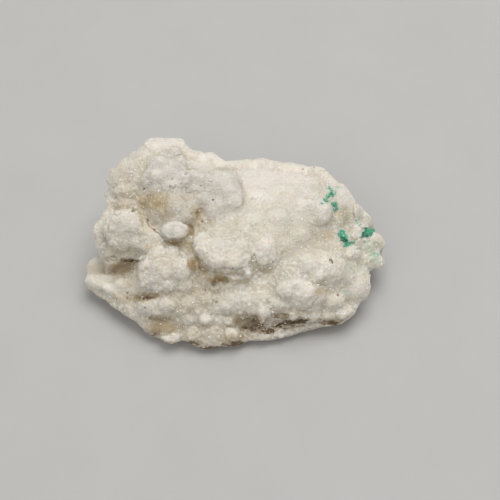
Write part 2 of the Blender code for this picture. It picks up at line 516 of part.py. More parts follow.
def keep_largest(mesh):
    """Drops every piece but the largest, such as a crumb that floats free."""
    n = len(mesh.vertices)
    ends = np.empty(len(mesh.edges) * 2, np.int32)
    mesh.edges.foreach_get("vertices", ends)
    a, b = ends[::2], ends[1::2]
    label = np.arange(n)
    while True:
        low = label.copy()
        np.minimum.at(low, a, label[b])
        np.minimum.at(low, b, label[a])
        low = low[low]
        if (low == label).all():
            break
        label = low
    names, sizes = np.unique(label, return_counts=True)
    keep = names[sizes.argmax()]
    if len(names) > 1:
        bm = bmesh.new()
        bm.from_mesh(mesh)
        bmesh.ops.delete(bm, geom=[v for v in bm.verts if label[v.index] != keep], context="VERTS")
        bm.to_mesh(mesh)
        bm.free()


def trim_base(mesh, height):
    """Cuts the underside flat at a height and closes the cut."""
    bm = bmesh.new()
    bm.from_mesh(mesh)
    cut = bmesh.ops.bisect_plane(
        bm,
        geom=bm.verts[:] + bm.edges[:] + bm.faces[:],
        plane_co=(0, 0, height),
        plane_no=(0, 0, -1),
        clear_outer=True,
        dist=1e-6,
    )
    edges = [e for e in cut["geom_cut"] if isinstance(e, bmesh.types.BMEdge)]
    bmesh.ops.holes_fill(bm, edges=edges, sides=0)
    bmesh.ops.recalc_face_normals(bm, faces=bm.faces)
    bm.to_mesh(mesh)
    bm.free()


def fuse(mesh, voxel, soften, faces=0):
    """Joins overlapping shells into one skin, softens it and thins it to a number of triangles."""
    obj = bpy.data.objects.new("fuse", mesh)
    bpy.context.scene.collection.objects.link(obj)
    skin = obj.modifiers.new("skin", "REMESH")
    skin.mode = "VOXEL"
    skin.voxel_size = voxel
    soft = obj.modifiers.new("soft", "SMOOTH")
    soft.factor = 0.5
    soft.iterations = soften
    mesh = evaluated(obj)
    keep_largest(mesh)
    obj.modifiers.clear()
    obj.data = mesh
    triangles = sum(len(p.vertices) - 2 for p in mesh.polygons)
    if faces and faces < triangles:
        thin = obj.modifiers.new("thin", "DECIMATE")
        thin.ratio = faces / triangles
        thin.use_collapse_triangulate = True
        mesh = evaluated(obj)
    bpy.data.objects.remove(obj)
    return mesh


def mass_mesh(voxel=VOXEL, soften=SOFTEN, faces=FACES):
    """The white mass: the lobes fused, knobs fused onto them, thinned and trimmed at the base."""
    lobed = fuse(lobes_mesh(), VOXEL, 5)
    heap = Heap()
    heap.add(*mesh_arrays(lobed))
    add_knobs(heap, lobed, 11, 4000, 0.0028, (0.0012, 0.0023), (0.15, 0.4))
    mesh = fuse(heap.mesh("knobs"), voxel, soften, faces)
    trim_base(mesh, BASE_TRIM)
    return mesh


def crust_mesh(name, beads, mass):
    """A thin lumpy crust draped over the mass, everywhere a hair clear of it."""
    corners, faces = mesh_arrays(mass)
    tree = BVHTree.FromPolygons(corners.tolist(), faces.tolist())
    cu, cv = (sum(b[i] for b in beads) / len(beads) for i in (0, 1))
    spokes, rings = 22, 4

    def reach(angle):
        far = 0.0
        for u, v, r, _ in beads:
            du, dv = u - cu, v - cv
            along = du * math.cos(angle) + dv * math.sin(angle)
            inside = r * r - (du * du + dv * dv - along * along)
            if inside > 0:
                far = max(far, along + math.sqrt(inside))
        return far

    def thickness(u, v):
        return max(h / 1000 * math.sqrt(max(0.0, 1 - ((u - bu) ** 2 + (v - bv) ** 2) / (r * r))) for bu, bv, r, h in beads)

    def place(u, v):
        ray = sight_ray(u, v).normalized()
        hit, normal, _, _ = tree.ray_cast(EYE, ray)
        under = hit - ray * (CRUST_GAP / max(0.45, abs(normal.dot(ray))))
        return under, under - ray * (CRUST_RIM + thickness(u, v))

    def room(p):
        """How far a point is outside the mass, and the way out."""
        near, normal, _, far = tree.find_nearest(p)
        if (p - near).dot(normal) < 0:
            return -far, normal
        return far, (p - near).normalized() if far > 1e-7 else normal

    def clear(p, gap):
        for _ in range(8):
            far, way = room(p)
            if far >= gap:
                break
            p = p + way * (gap - far + 1e-5)
        return p

    spots = [(cu, cv)]
    for j in range(1, rings + 1):
        for k in range(spokes):
            angle = 2 * math.pi * k / spokes
            r = reach(angle) * j / rings
            spots.append((cu + r * math.cos(angle), cv + r * math.sin(angle)))
    under, over = zip(*(place(u, v) for u, v in spots))
    under = [clear(p, CRUST_GAP) for p in under]
    over = [clear(p, CRUST_GAP + CRUST_RIM) for p in over]
    n = len(spots)
    cells = [(0, 1 + k, 1 + (k + 1) % spokes) for k in range(spokes)]
    for j in range(rings - 1):
        for k in range(spokes):
            a, b, k2 = 1 + j * spokes, 1 + (j + 1) * spokes, (k + 1) % spokes
            cells += [(a + k, b + k, b + k2), (a + k, b + k2, a + k2)]
    for _ in range(12):
        raised = [Vector() for _ in range(n)]
        for cell in cells:
            p, q, r = (under[i] for i in cell)
            for middle in ((p + q + r) / 3, (p + q) / 2, (q + r) / 2, (r + p) / 2):
                far, way = room(middle)
                if far < 0.9 * CRUST_GAP:
                    for i in cell:
                        if raised[i].length < 0.9 * CRUST_GAP - far + 1e-5:
                            raised[i] = way * (0.9 * CRUST_GAP - far + 1e-5)
        if not any(v.length for v in raised):
            break
        under = [clear(p + v, CRUST_GAP) for p, v in zip(under, raised)]
        over = [clear(p + v, CRUST_GAP + CRUST_RIM) for p, v in zip(over, raised)]
    tris = []
    for k in range(spokes):
        k2 = (k + 1) % spokes
        top = [(0, 1 + k, 1 + k2)]
        for j in range(rings - 1):
            a, b = 1 + j * spokes, 1 + (j + 1) * spokes
            top += [(a + k, b + k, b + k2), (a + k, b + k2, a + k2)]
        tris += [tuple(i + n for i in t) for t in top] + [t[::-1] for t in top]
        a = 1 + (rings - 1) * spokes
        tris += [(a + k, a + k2, a + k2 + n), (a + k, a + k2 + n, a + k + n)]
    heap = Heap()
    heap.add([p[:] for p in under + over], tris)
    mesh = heap.mesh(name)
    bm = bmesh.new()
    bm.from_mesh(mesh)
    bmesh.ops.recalc_face_normals(bm, faces=bm.faces)
    bm.to_mesh(mesh)
    bm.free()
    return mesh


def material(name, colour, roughness, metallic=0.0):
    mat = bpy.data.materials.new(name)
    mat.use_nodes = True
    shader = mat.node_tree.nodes["Principled BSDF"]
    shader.inputs["Base Color"].default_value = (*colour, 1)
    shader.inputs["Roughness"].default_value = roughness
    shader.inputs["Metallic"].default_value = metallic
    mat.diffuse_color = (*colour, 1)
    return mat


def place_piece(name, mesh, mat):
    mesh.name = name
    mesh.materials.clear()
    mesh.materials.append(mat)
    mesh.shade_smooth()
    piece = bpy.data.objects.new(name, mesh)
    bpy.context.scene.collection.objects.link(piece)
    return piece


def build():
    for old in list(bpy.data.objects):
        bpy.data.objects.remove(old)
    mass = mass_mesh()
    place_piece("aragonite_mass", mass, material("white_aragonite", (0.74, 0.69, 0.6), 0.45))
    for name, beads in GREEN_CRUSTS:
        mat = material(name.replace("crust", "mineral"), (0.05, 0.42, 0.28), 0.5)
        place_piece(name, crust_mesh(name, beads, mass), mat)


if __name__ == "__main__":
    build()
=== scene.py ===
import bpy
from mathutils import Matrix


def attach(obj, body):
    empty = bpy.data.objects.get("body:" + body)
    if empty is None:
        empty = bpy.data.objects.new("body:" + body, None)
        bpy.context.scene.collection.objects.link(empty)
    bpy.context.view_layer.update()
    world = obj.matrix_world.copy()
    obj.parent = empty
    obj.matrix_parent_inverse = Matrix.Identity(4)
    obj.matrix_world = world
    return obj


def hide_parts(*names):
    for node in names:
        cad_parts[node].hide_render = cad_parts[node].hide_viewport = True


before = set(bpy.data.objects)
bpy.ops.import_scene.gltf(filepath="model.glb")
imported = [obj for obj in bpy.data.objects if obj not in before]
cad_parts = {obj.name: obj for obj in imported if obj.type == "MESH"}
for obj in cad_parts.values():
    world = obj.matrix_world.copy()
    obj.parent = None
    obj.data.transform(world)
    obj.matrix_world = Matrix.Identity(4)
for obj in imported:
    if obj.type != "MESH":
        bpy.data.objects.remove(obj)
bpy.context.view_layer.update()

"""The looks of a knobbly white aragonite specimen with small green mineral crusts.

Metres, +Z up, in the frame of the CAD part. The specimen is laid out on a sloping reference
plane, as a sculptor would work from one chosen side: a place on its outside is (u, v), two numbers
from 0 to 500 across and down that plane, and its height above the base in millimetres.
"""

import math
import random

import bmesh
import bpy
import numpy as np
from mathutils import Matrix, Vector, noise
from mathutils.bvhtree import BVHTree

# ---- Driving dimensions -------------------------------------------------------------------
LENGTH = 0.090  # the specimen's longest side, along X
SIGHT_ELEVATION = math.radians(55.0)  # the reference side is seen from this far above level
SIGHT_DISTANCE = 0.330
UNIT = 0.0003  # one unit of u or v at the aim point
AIM = Vector((0.0041, -0.0034, 0.012))
CENTRE_UV = (235.0, 247.0)  # the middle of the outline

VOXEL = 0.0006  # the step at which the lobes are fused into one solid
SOFTEN = 2  # smoothing passes after fusing
FACES = 8000  # triangles of the finished solid
BASE_TRIM = 0.0  # the underside is trimmed flat at this height
CRUST_GAP = 0.0003  # between a green crust and the white surface under it

# ---- The outline of the reference side, clockwise from the top left ------------------------
OUTLINE = (
    (150, 138), (158, 137.5), (167, 138), (175, 138), (183, 139), (187, 145), (192, 150),
    (200, 151), (204, 153), (208, 152), (213, 152), (218, 156), (222, 159), (226, 161),
    (233, 160.5), (240, 160), (247, 159), (253, 160), (258, 158), (264, 158), (270, 160),
    (277, 161), (284, 163), (290, 162), (298, 164), (304, 165), (308, 167), (313, 166),
    (321, 167), (325, 169), (330, 174), (335, 179), (339, 183), (343, 183.5), (348, 189),
    (352, 195), (355, 200), (355.3, 204.3), (358.5, 204.5), (362, 207), (363.5, 210.5), (367, 213), (370, 216), (372, 219.5),
    (372.3, 223), (371, 226.2), (367.4, 228.6), (371, 231), (375.5, 232.3), (380, 234.8), (383, 238.3), (385.3, 241.8),
    (386.3, 244.8), (384.8, 248.2), (381, 249.8), (378.2, 251.6), (380.4, 255.2), (383.2, 258.5), (384.6, 262), (384, 266), (381.5, 269.8),
    (377, 268.8), (373, 269.5), (369.5, 271.5), (366.5, 273.2), (371, 275), (370, 278), (370.2, 282), (371, 287), (369.5, 293), (366, 299), (361, 302), (358, 307),
    (355, 314), (349, 319), (341, 324), (331, 326.5), (321, 327.5), (312, 330), (301, 333),
    (291, 336), (281, 338.5), (271, 340.5), (259, 341), (249, 341), (243, 344), (235, 346.5),
    (226, 346.5), (218, 347.5), (210, 349), (203, 349.5), (197, 347), (190, 343.5),
    (182, 340.5), (177, 342.5), (171, 344), (165, 342), (160, 339), (152, 336.5), (145, 332),
    (140, 326), (134, 320.5), (126, 316.5), (119, 311), (112, 307), (106, 300.5),
    (99, 297.5), (92, 291.5), (86, 287.5), (84.5, 281), (87, 275), (86, 268), (90, 260.5),
    (96, 256.5), (101, 258), (98, 251), (95, 246), (95, 239), (92.5, 230), (96, 222.5),
    (100, 219.5), (102, 214), (103.5, 209.5), (106, 210.5), (107, 207), (108, 204), (106, 200),
    (104.5, 196), (103.5, 193), (106.5, 193), (107.5, 189.5), (108.5, 186), (107, 183), (106, 180),
    (107.5, 178), (109.5, 176.5), (109.5, 173), (111, 169), (113.5, 168), (116, 168), (117, 165.5),
    (119, 162.5), (121.5, 160), (125, 157.5), (129, 157), (130.5, 153), (132.5, 151), (134.5, 151.2),
    (135.8, 152.8), (137, 150), (139, 147.5), (141, 146), (143, 145), (145, 142),
)

# ---- Heights of the outside above the base, in mm, at places on the reference side ---------
RELIEF = (
    # the left end, with the low lip under the overhanging knobs
    (90, 262, 8.5), (88, 280, 7), (95, 290, 5), (95, 231, 18.5), (97, 246, 16),
    (106, 182, 21), (104, 200, 21), (101, 218, 20), (106, 235, 20), (106, 250, 16),
    (108, 266, 7), (105, 282, 8.5), (105, 297, 5),
    (118, 165, 24), (120, 185, 27), (120, 205, 24), (123, 226, 24), (122, 246, 19),
    (120, 265, 6.5), (120, 281, 10), (120, 299, 7.5), (122, 311, 5),
    # the shoulder and the front slope below it
    (135, 152, 24), (140, 166, 28), (140, 185, 28.5), (141, 205, 25), (142, 226, 23.5),
    (140, 246, 20), (134, 263, 10), (147, 270, 18), (150, 284, 16.5), (152, 289, 15.2), (166, 284, 17.2), (148, 297, 11),
    (142, 307, 9), (140, 318, 6), (146, 329, 4),
    (165, 138, 22), (163, 149, 26), (160, 163, 31), (170, 176, 31.5), (165, 189, 31), (150, 189, 30),
    (157, 204, 27.3), (176, 214, 27.6), (165, 198, 29.6), (149, 198, 28), (182, 201, 29.2), (155, 226, 23.5), (175, 231, 25.5), (176, 244, 21),
    (165, 256, 22), (166, 276, 18.5), (184, 268, 20), (178, 284, 17.6), (187, 277, 17.8), (166, 291, 14.5), (165, 304, 12.5), (164, 317, 8.5),
    (163, 328, 5.5), (171, 341, 3.5),
    (192, 150, 23), (190, 162, 24), (192, 178, 29.5), (190, 196, 28), (193, 212, 25.5),
    (203, 181, 29), (197, 189, 28.5), (184, 174, 30.5),
    (193, 228, 21.5), (193, 245, 20.5), (190, 262, 17.5), (196, 275, 15.5), (200, 290, 14.5),
    (200, 305, 12), (200, 320, 9), (195, 335, 5), (205, 347, 3),
    # the high rounded lobes over the middle, and the long lump with its hollow below
    (215, 154, 21), (224, 163, 21), (221, 179, 27), (228, 192, 27.5), (225, 210, 26),
    (220, 226, 24.5), (212, 244, 24.5), (228, 256, 23.5), (243, 264, 21.5), (222, 281.5, 14),
    (225, 271, 20.2), (226, 276.5, 18.8), (240, 273, 19.4), (212, 271, 19.4), (211, 276, 17.8),
    (225, 266, 22.6), (210, 263, 22), (238, 268, 21.3),
    (225, 291, 14.5), (225, 307, 12), (225, 321, 8), (230, 335, 5.5), (230, 345, 3),
    (245, 160, 19), (250, 171, 22), (249, 190, 24.5), (250, 210, 25), (250, 230, 24),
    (265, 252, 22.5), (263, 270, 17.5), (252, 283, 15.5), (255, 298, 13.5), (262, 312, 10.5),
    (252, 317, 9), (254, 323, 5), (246, 324, 6), (262, 330, 4.4), (270, 332, 4), (258, 336, 4),
    (262, 341, 3),
    # the smooth back slope and the front lumps at the right
    (285, 163, 18), (285, 176, 21), (285, 195, 23.5), (285, 215, 24), (290, 240, 22),
    (295, 262, 20), (298, 284, 18), (295, 300, 14.5), (290, 314, 9.5), (292, 318, 8.6), (292, 323.5, 4.8),
    (276, 319, 8.4), (276, 326, 5), (305, 318, 8), (306, 323.5, 5.4), (290, 336, 3.5),
    (315, 168, 16.5), (315, 181, 20), (318, 205, 23), (318, 222, 21.5), (322, 238, 18),
    (315, 262, 19.5), (320, 280, 16.5), (318, 293, 13), (325, 305, 10.5), (325, 318, 7),
    (320, 328, 4),
    (335, 180, 16), (345, 200, 19), (345, 220, 17.5), (345, 239, 16.5), (350, 256, 15.5),
    (345, 275, 14.5), (345, 294, 11), (345, 310, 7.5), (348, 319, 5),
    (356, 205, 15), (363, 215, 15.5), (360, 234, 14.5), (366, 230, 13.5), (371, 230.5, 11.5), (378, 241, 12),
    (370, 252, 11), (377, 251, 8.5), (378, 262, 10.5), (372, 269, 9), (362, 275, 12), (365, 290, 9.5), (360, 302, 6.5),
)

# ---- The swellings: broad, shallow domes that groups of lobes sit on ------------------------
# Rows as for the lobes below.
SWELLINGS = (
    (127, 181, 20, 22, 0, 0.25), (166, 175, 22, 17, 0, 0.2), (222, 195, 20, 24, 0, 0.2),
    (196, 182, 17, 12, 0, 0.2), (173, 208, 25, 18, 0, 0.2), (122, 229, 19, 19, 0, 0.2),
    (116, 248, 20, 12, 0, 0.3), (162, 270, 24, 20, 0, 0.15), (222, 254, 28, 16, 14, 0.25),
    (165, 305, 28, 12, 0, 0.2), (266, 250, 15, 17, 0, 0.2), (302, 294, 24, 15, 5, 0.2),
    (320, 267, 28, 18, 8, 0.2), (337, 208, 24, 22, 0, 0.25), (355, 287, 17, 17, 0, 0.2),
    (366, 222, 14, 18, 20, 0.4), (370, 254, 15, 16, 0, 0.5), (212, 334, 28, 12, 0, 0.3),
    (240, 300, 26, 13, 0, 0.2), (104, 283, 20, 9, 12, 0.4),
)

# ---- The lobes: u, v, half width, half height, turn in degrees, how far it stands out -------
# How far it stands out is the share of the lobe's own depth that stands proud of the surface
# there. A seventh number, where there is one, is its depth against its width.
LOBES = (
    # upper left shoulder
    (134, 170, 11, 12, 0, 0.4), (122, 177, 10, 11, 0, 0.4), (114, 190, 8, 10, 0, 0.4),
    (127, 192, 12, 9, 0, 0.35), (139, 184, 9, 11, 0, 0.35), (113, 205, 8, 8, 0, 0.4),
    (126, 204, 11, 8, 0, 0.3), (108, 217, 7, 7, 0, 0.4), (127, 165, 8, 6, 20, 0.3),
    (145, 159, 9, 9, 0, 0.3), (150, 148, 12, 8, 0, 0.25), (172, 145, 12, 6, 0, 0.25),
    (139, 205, 8, 7, 0, 0.3), (131, 174, 6, 6, 0, 0.7),
    # the glassy lobes standing highest, low and flat on top with crisp edges
    (175.5, 154, 5.5, 7, 0, 0.95, 0.9), (179, 166, 8.5, 10, 0, 0.75, 0.6), (159, 165.5, 11, 10, 0, 0.75, 0.6),
    (150, 180.5, 8.5, 11, 0, 0.5, 0.5), (167, 177, 12, 12, 0, 0.55, 0.42), (181, 180, 9, 9, 0, 0.5, 0.5),
    (158, 177, 9, 9, 0, 0.7, 0.55), (193, 179, 9, 9, 0, 0.75, 0.6), (204, 182, 9, 9, 0, 0.75, 0.55),
    (218, 182, 10.5, 11.5, 0, 0.75, 0.55), (230.5, 184, 11, 13, 0, 0.8, 0.55), (225, 193, 14.5, 13, 0, 0.55, 0.5),
    (231, 204, 11, 12, 0, 0.4, 0.45), (216, 208, 11, 12, 0, 0.45, 0.45), (236, 198, 7, 12, 0, 0.6, 0.65),
    (205, 198, 9, 10, 0, 0.45, 0.5), (192, 191, 11, 8, 0, 0.35, 0.5), (172, 186, 10, 7, 0, 0.2, 0.45),
    # below them
    (174, 206, 11, 14, 0, 0.5), (189, 214, 9, 10, 0, 0.45), (157, 212, 10, 12, 0, 0.35),
    (191, 202, 9, 8, 0, 0.4), (205, 223, 10, 8, 0, 0.35), (147, 200, 9, 7, 0, 0.15),
    # the glassy disc
    (175, 230.5, 14, 8.5, 0, 0.7, 0.36),
    # the knobs at the left
    (125.5, 225.5, 16, 16, 0, 0.5, 0.5), (131, 221, 9, 9, 0, 0.35, 0.5), (117, 228, 8, 10, 0, 0.4),
    (101, 231, 8.5, 10, 0, 0.5), (111, 249, 11, 9, 0, 0.55), (100, 244, 5.5, 8, 0, 0.45),
    (131, 250, 12, 8, 0, 0.5), (148, 235, 9, 10, 0, 0.4), (149, 247, 8, 6, 0, 0.4),
    (136, 241, 8, 7, 0, 0.4), (116, 239, 8, 8, 0, 0.4), (124, 245, 7, 6, 0, 0.4),
    # the low lip at the left
    (97, 267, 11, 11, 0, 0.45), (101, 284, 18, 6, 16, 0.55), (92, 280, 7, 7, 0, 0.45),
    (114, 291, 15, 6, 27, 0.5), (124, 299, 12, 5, 30, 0.35), (113, 300, 9, 4, 30, 0.3),
    (128, 309, 8, 4, 30, 0.3), (124, 285, 10, 6, 20, 0.25),
    # the big front lump
    (158, 255, 10, 9, 0, 0.45), (171, 254, 9, 9, 0, 0.45), (149.5, 276, 11, 13, 0, 0.6, 0.55), (180, 269, 11, 12, 0, 0.55, 0.6),
    (148, 262, 9, 8, 0, 0.45), (169, 284, 9, 7, 0, 0.5), (184, 285, 8.5, 8, 0, 0.35),
    (167, 271, 9, 8, 0, 0.6), (183, 257, 7, 8, 0, 0.4), (156, 268, 7, 7, 0, 0.5),
    (174, 262, 6, 6, 0, 0.5), (160, 288, 8, 6, 0, 0.4),
    # lower middle
    (169, 304, 12, 8, 0, 0.5), (147, 308, 11, 7, 0, 0.45), (133, 308, 8, 8, 0, 0.4),
    (188, 303, 11, 9, 0, 0.35), (163, 326, 19, 8, 0, 0.35), (172, 339, 10, 5, 0, 0.75),
    (176, 336, 6, 4, 0, 0.8), (147, 325, 9, 6, 25, 0.35), (205, 318.5, 7, 6, 0, 0.55),
    (193, 334, 9, 9.5, 0, 0.6), (212, 333, 9, 7.5, 0, 0.5), (231, 335, 10, 8, 0, 0.6),
    (228, 321, 6.5, 5.5, 0, 0.6), (205, 341.5, 5.5, 4.5, 0, 0.6), (215, 341, 5.5, 4, 0, 0.55), (224, 342, 6, 3.6, 0, 0.4),
    (190, 318, 9, 6, 0, 0.3), (207, 299, 12, 8, 0, 0.3), (228, 305, 12, 8, 0, 0.3),
    (245, 301, 11, 9, 0, 0.35), (219, 319, 8, 7, 0, 0.35), (183, 311, 6, 5, 0, 0.4),
    (157, 309, 6, 5, 0, 0.4), (218, 309, 6, 5, 0, 0.35), (197, 310, 5, 4.5, 0, 0.4),
    # the long lump over the hollow
    (203.5, 243, 10, 11.5, 0, 0.65), (218, 259.5, 10, 8.5, 0, 0.6, 0.5), (232, 260.5, 11, 8.5, 5, 0.6, 0.5), (242, 263.5, 7, 7, 0, 0.6, 0.55),
    (247.5, 272, 4, 6, 0, 1.1, 0.95), (210, 260, 8, 7, 0, 0.5), (224, 245, 11, 7, 0, 0.45),
    (240, 247, 9, 8, 0, 0.45), (265, 248, 9, 12, 0, 0.5), (263, 261, 7, 5, 0, 0.5),
    (241, 267, 7, 5, 0, 0.5), (228, 268, 9, 5, 0, 0.3), (270, 243, 4.5, 5, 0, 0.6),
    # the smooth middle and back slope
    (250, 224, 18, 14, 0, 0.12), (276, 222, 18, 14, 0, 0.12), (257, 202, 18, 13, 0, 0.1),
    (284, 197, 18, 13, 0, 0.1), (296, 238, 16, 13, 0, 0.15), (302, 210, 14, 12, 0, 0.12),
    (242, 233, 12, 10, 0, 0.15), (283, 247, 14, 12, 0, 0.2),
    # the right end
    (320, 213, 12.5, 14, 0, 0.5), (331, 197, 10, 12, 0, 0.45), (344, 203, 12, 19, 0, 0.45),
    (336, 220, 8, 10, 0, 0.35), (363, 216, 9.5, 12.5, -25, 0.7, 0.75), (357, 232, 8.5, 10.5, 0, 0.6),
    (377.5, 241.5, 8.8, 9, 0, 0.95, 0.8), (366, 233, 6, 6, 0, 0.35), (376.5, 261, 8.6, 8.8, 0, 0.95, 0.8),
    (370, 251, 8, 7, 0, 0.35), (351, 254, 10, 9, 0, 0.45), (363, 246, 9, 9, 0, 0.4),
    (364, 262, 10, 9, 0, 0.45), (343, 241, 8, 9, 0, 0.3), (350, 222, 8, 9, 0, 0.35),
    (308, 265, 12, 12, 0, 0.35), (327, 270, 15, 11, 10, 0.45), (335, 257, 8, 7, 0, 0.35),
    (304, 291, 13.5, 11, 6, 0.75, 0.55), (287, 289, 11, 9, 0, 0.45, 0.6), (278, 303, 11, 8, 10, 0.35),
    (316, 276, 8, 7, 0, 0.35), (297, 284, 6, 5, 0, 0.5), (309, 285, 6, 5, 0, 0.4),
    (312, 304, 10, 8, 0, 0.4), (331, 301, 14, 9, 0, 0.35), (343, 313, 11, 7.5, -15, 0.6),
    (355, 287, 14, 14, 0, 0.45), (343, 276, 11, 9, 0, 0.35), (354, 304, 8, 9, 0, 0.5),
    (327, 316, 11, 6, -10, 0.45), (313, 314, 8, 8, 0, 0.55), (293.5, 314.5, 5.5, 6, 0, 0.75),
    (262, 298, 13, 10, 0, 0.35), (262, 286, 12, 8, 0, 0.2),
    # the drip and the ragged ledge at the foot
    (262, 309, 5.5, 9, 0, 0.8, 0.95), (262, 316, 3.4, 8.5, 0, 1.5, 0.95), (250, 311, 6, 6, 0, 0.6), (243, 314, 5, 5, 0, 0.6),
    (272, 313, 4.5, 5, 0, 0.5), (281, 314.5, 5, 4.5, 0, 0.5), (287, 311, 5, 5, 0, 0.5), (303, 316, 5, 4, 0, 0.5),
    (252, 338, 6, 3.2, 0, 0.5), (244, 338.5, 4, 3.2, -20, 0.6), (262, 338, 5, 2.6, 0, 0.4), (272, 336, 5, 3.2, -10, 0.5),
    (281, 334, 6, 4.2, -12, 0.65), (290, 332, 5, 3.2, -12, 0.5), (299, 329, 5, 3.6, -12, 0.6), (308, 326.5, 6, 3, -12, 0.5),
    (317, 324.5, 5, 2.8, -10, 0.5), (307, 321, 5.5, 3, -5, 0.4), (268, 326, 5, 3, -20, 0.4), (240, 332, 4, 6, 0, 0.4),
)

# ---- Where the outside is smooth rather than knobbly: u, v, reach across, reach down --------
SMOOTH_ZONES = (
    (262, 190, 62, 38), (205, 158, 26, 14), (300, 232, 36, 30), (345, 206, 16, 20),
    (322, 214, 14, 12), (120, 266, 18, 9), (98, 270, 14, 10), (163, 325, 18, 8),
    (330, 298, 20, 12), (356, 287, 14, 14), (222, 192, 20, 20), (175, 230, 16, 10),
    (166, 172, 22, 18), (197, 182, 14, 11), (104, 284, 20, 9), (118, 293, 14, 8),
    (174, 206, 12, 14), (165, 146, 20, 8), (378, 241, 9, 9), (377, 262, 8, 8), (363, 214, 9, 12),
)


# ---- Geometry -------------------------------------------------------------------------------
RIGHT = Vector((1, 0, 0))
FORWARD = Vector((0, math.cos(SIGHT_ELEVATION), -math.sin(SIGHT_ELEVATION)))
UP = Vector((0, math.sin(SIGHT_ELEVATION), math.cos(SIGHT_ELEVATION)))
EYE = AIM - FORWARD * SIGHT_DISTANCE
FOCAL = SIGHT_DISTANCE / UNIT


def sight_ray(u, v):
    """The direction from the eye through (u, v), with a forward part of 1."""
    return FORWARD + RIGHT * ((u - 250) / FOCAL) + UP * ((250 - v) / FOCAL)


def sight_point(u, v, height):
    """The place at (u, v) that lies height metres above the base."""
    ray = sight_ray(u, v)
    return EYE + ray * ((height - EYE.z) / ray.z)


def sight_place(points):
    """(u, v) of an array of places, and how many metres one unit of u is at each."""
    away = np.atleast_2d(points) - np.array(EYE)
    depth = away @ np.array(FORWARD)
    u = 250 + FOCAL * (away @ np.array(RIGHT)) / depth
    v = 250 - FOCAL * (away @ np.array(UP)) / depth
    return u, v, depth / FOCAL


def inside_outline(u, v, loop=OUTLINE):
    """How far each (u, v) lies inside the outline or another loop, negative outside it."""
    loop = np.array(loop, float)
    step = np.roll(loop, -1, 0) - loop
    rel = np.stack([u, v], 1)[:, None] - loop
    share = np.clip((rel * step).sum(2) / (step * step).sum(1), 0, 1)
    gap = np.sqrt(((rel - share[..., None] * step) ** 2).sum(2)).min(1)
    upward = (loop[:, 1] <= v[:, None]) != (np.roll(loop[:, 1], -1) <= v[:, None])
    across = loop[:, 0] + (v[:, None] - loop[:, 1]) / np.where(step[:, 1] == 0, 1e-9, step[:, 1]) * step[:, 0]
    inside = (upward & (across > u[:, None])).sum(1) % 2 == 1
    return np.where(inside, gap, -gap)


def thin_plate(rows):
    """A smooth function of (u, v) that passes near each row's third number."""
    at = np.array([r[:2] for r in rows], float) / 100
    value = np.array([r[2] for r in rows], float)
    n = len(at)

    def kernel(d2):
        return 0.5 * d2 * np.log(d2 + 1e-12)

    a = np.zeros((n + 3, n + 3))
    a[:n, :n] = kernel(((at[:, None] - at[None]) ** 2).sum(2)) + np.eye(n) * 2e-4
    a[:n, n] = a[n, :n] = 1
    a[:n, n + 1 :] = at
    a[n + 1 :, :n] = at.T
    weights = np.linalg.solve(a, np.concatenate([value, np.zeros(3)]))

    def height(u, v):
        q = np.array([u, v], float) / 100
        k = kernel(((at - q) ** 2).sum(1))
        return max(0.0015, float(k @ weights[:n] + weights[n] + q @ weights[n + 1 :]) / 1000)

    return height


relief = thin_plate(RELIEF)


def surface_point(u, v):
    return sight_point(u, v, relief(u, v))


def surface_normal(u, v, step=2.5):
    a = surface_point(u + step, v) - surface_point(u - step, v)
    b = surface_point(u, v - step) - surface_point(u, v + step)
    n = a.cross(b).normalized()
    return n if n.dot(FORWARD) < 0 else -n


class Heap:
    """Closed shells gathered as plain arrays of corners and triangles."""

    def __init__(self):
        self.corners, self.faces, self.count = [], [], 0
        self.balls = {d: self.unit_ball(d) for d in (2, 3, 4)}

    @staticmethod
    def unit_ball(detail):
        bm = bmesh.new()
        bmesh.ops.create_icosphere(bm, subdivisions=detail, radius=1.0)
        corners = np.array([v.co[:] for v in bm.verts])
        faces = np.array([[v.index for v in f.verts] for f in bm.faces])
        bm.free()
        return corners, faces

    def add(self, corners, faces):
        self.corners.append(np.asarray(corners, float))
        self.faces.append(np.asarray(faces) + self.count)
        self.count += len(corners)

    def add_ball(self, matrix, detail=3):
        m = np.array(matrix)
        corners, faces = self.balls[detail]
        self.add(corners @ m[:3, :3].T + m[:3, 3], faces)

    def mesh(self, name):
        corners, faces = np.concatenate(self.corners), np.concatenate(self.faces)
        mesh = bpy.data.meshes.new(name)
        mesh.vertices.add(len(corners))
        mesh.vertices.foreach_set("co", corners.ravel())
        mesh.loops.add(faces.size)
        mesh.loops.foreach_set("vertex_index", faces.ravel())
        mesh.polygons.add(len(faces))
        mesh.polygons.foreach_set("loop_start", np.arange(0, faces.size, 3))
        mesh.update(calc_edges=True)
        return mesh


def lobe_matrix(u, v, a, b, turn, stand, thick=0.78):
    """Places a unit ball as a lobe.

    a and b are its half width and half height in units of the reference side, turned by turn
    degrees, and it stands out of the surface by the share stand of its depth.
    """
    here = surface_point(u, v)
    near = (here - EYE).length / SIGHT_DISTANCE
    wide, high = a * UNIT * near, b * UNIT * near
    deep = math.sqrt(wide * high) * thick
    slant = max(0.4, -surface_normal(u, v).dot(FORWARD))
    centre = here + sight_ray(u, v).normalized() * (deep * (1 - stand) / slant)
    axes = Matrix((RIGHT, UP, -FORWARD)).transposed().to_4x4()
    spin = Matrix.Rotation(math.radians(-turn), 4, "Z")
    return Matrix.Translation(centre) @ axes @ spin @ Matrix.Diagonal((wide, high, deep, 1))


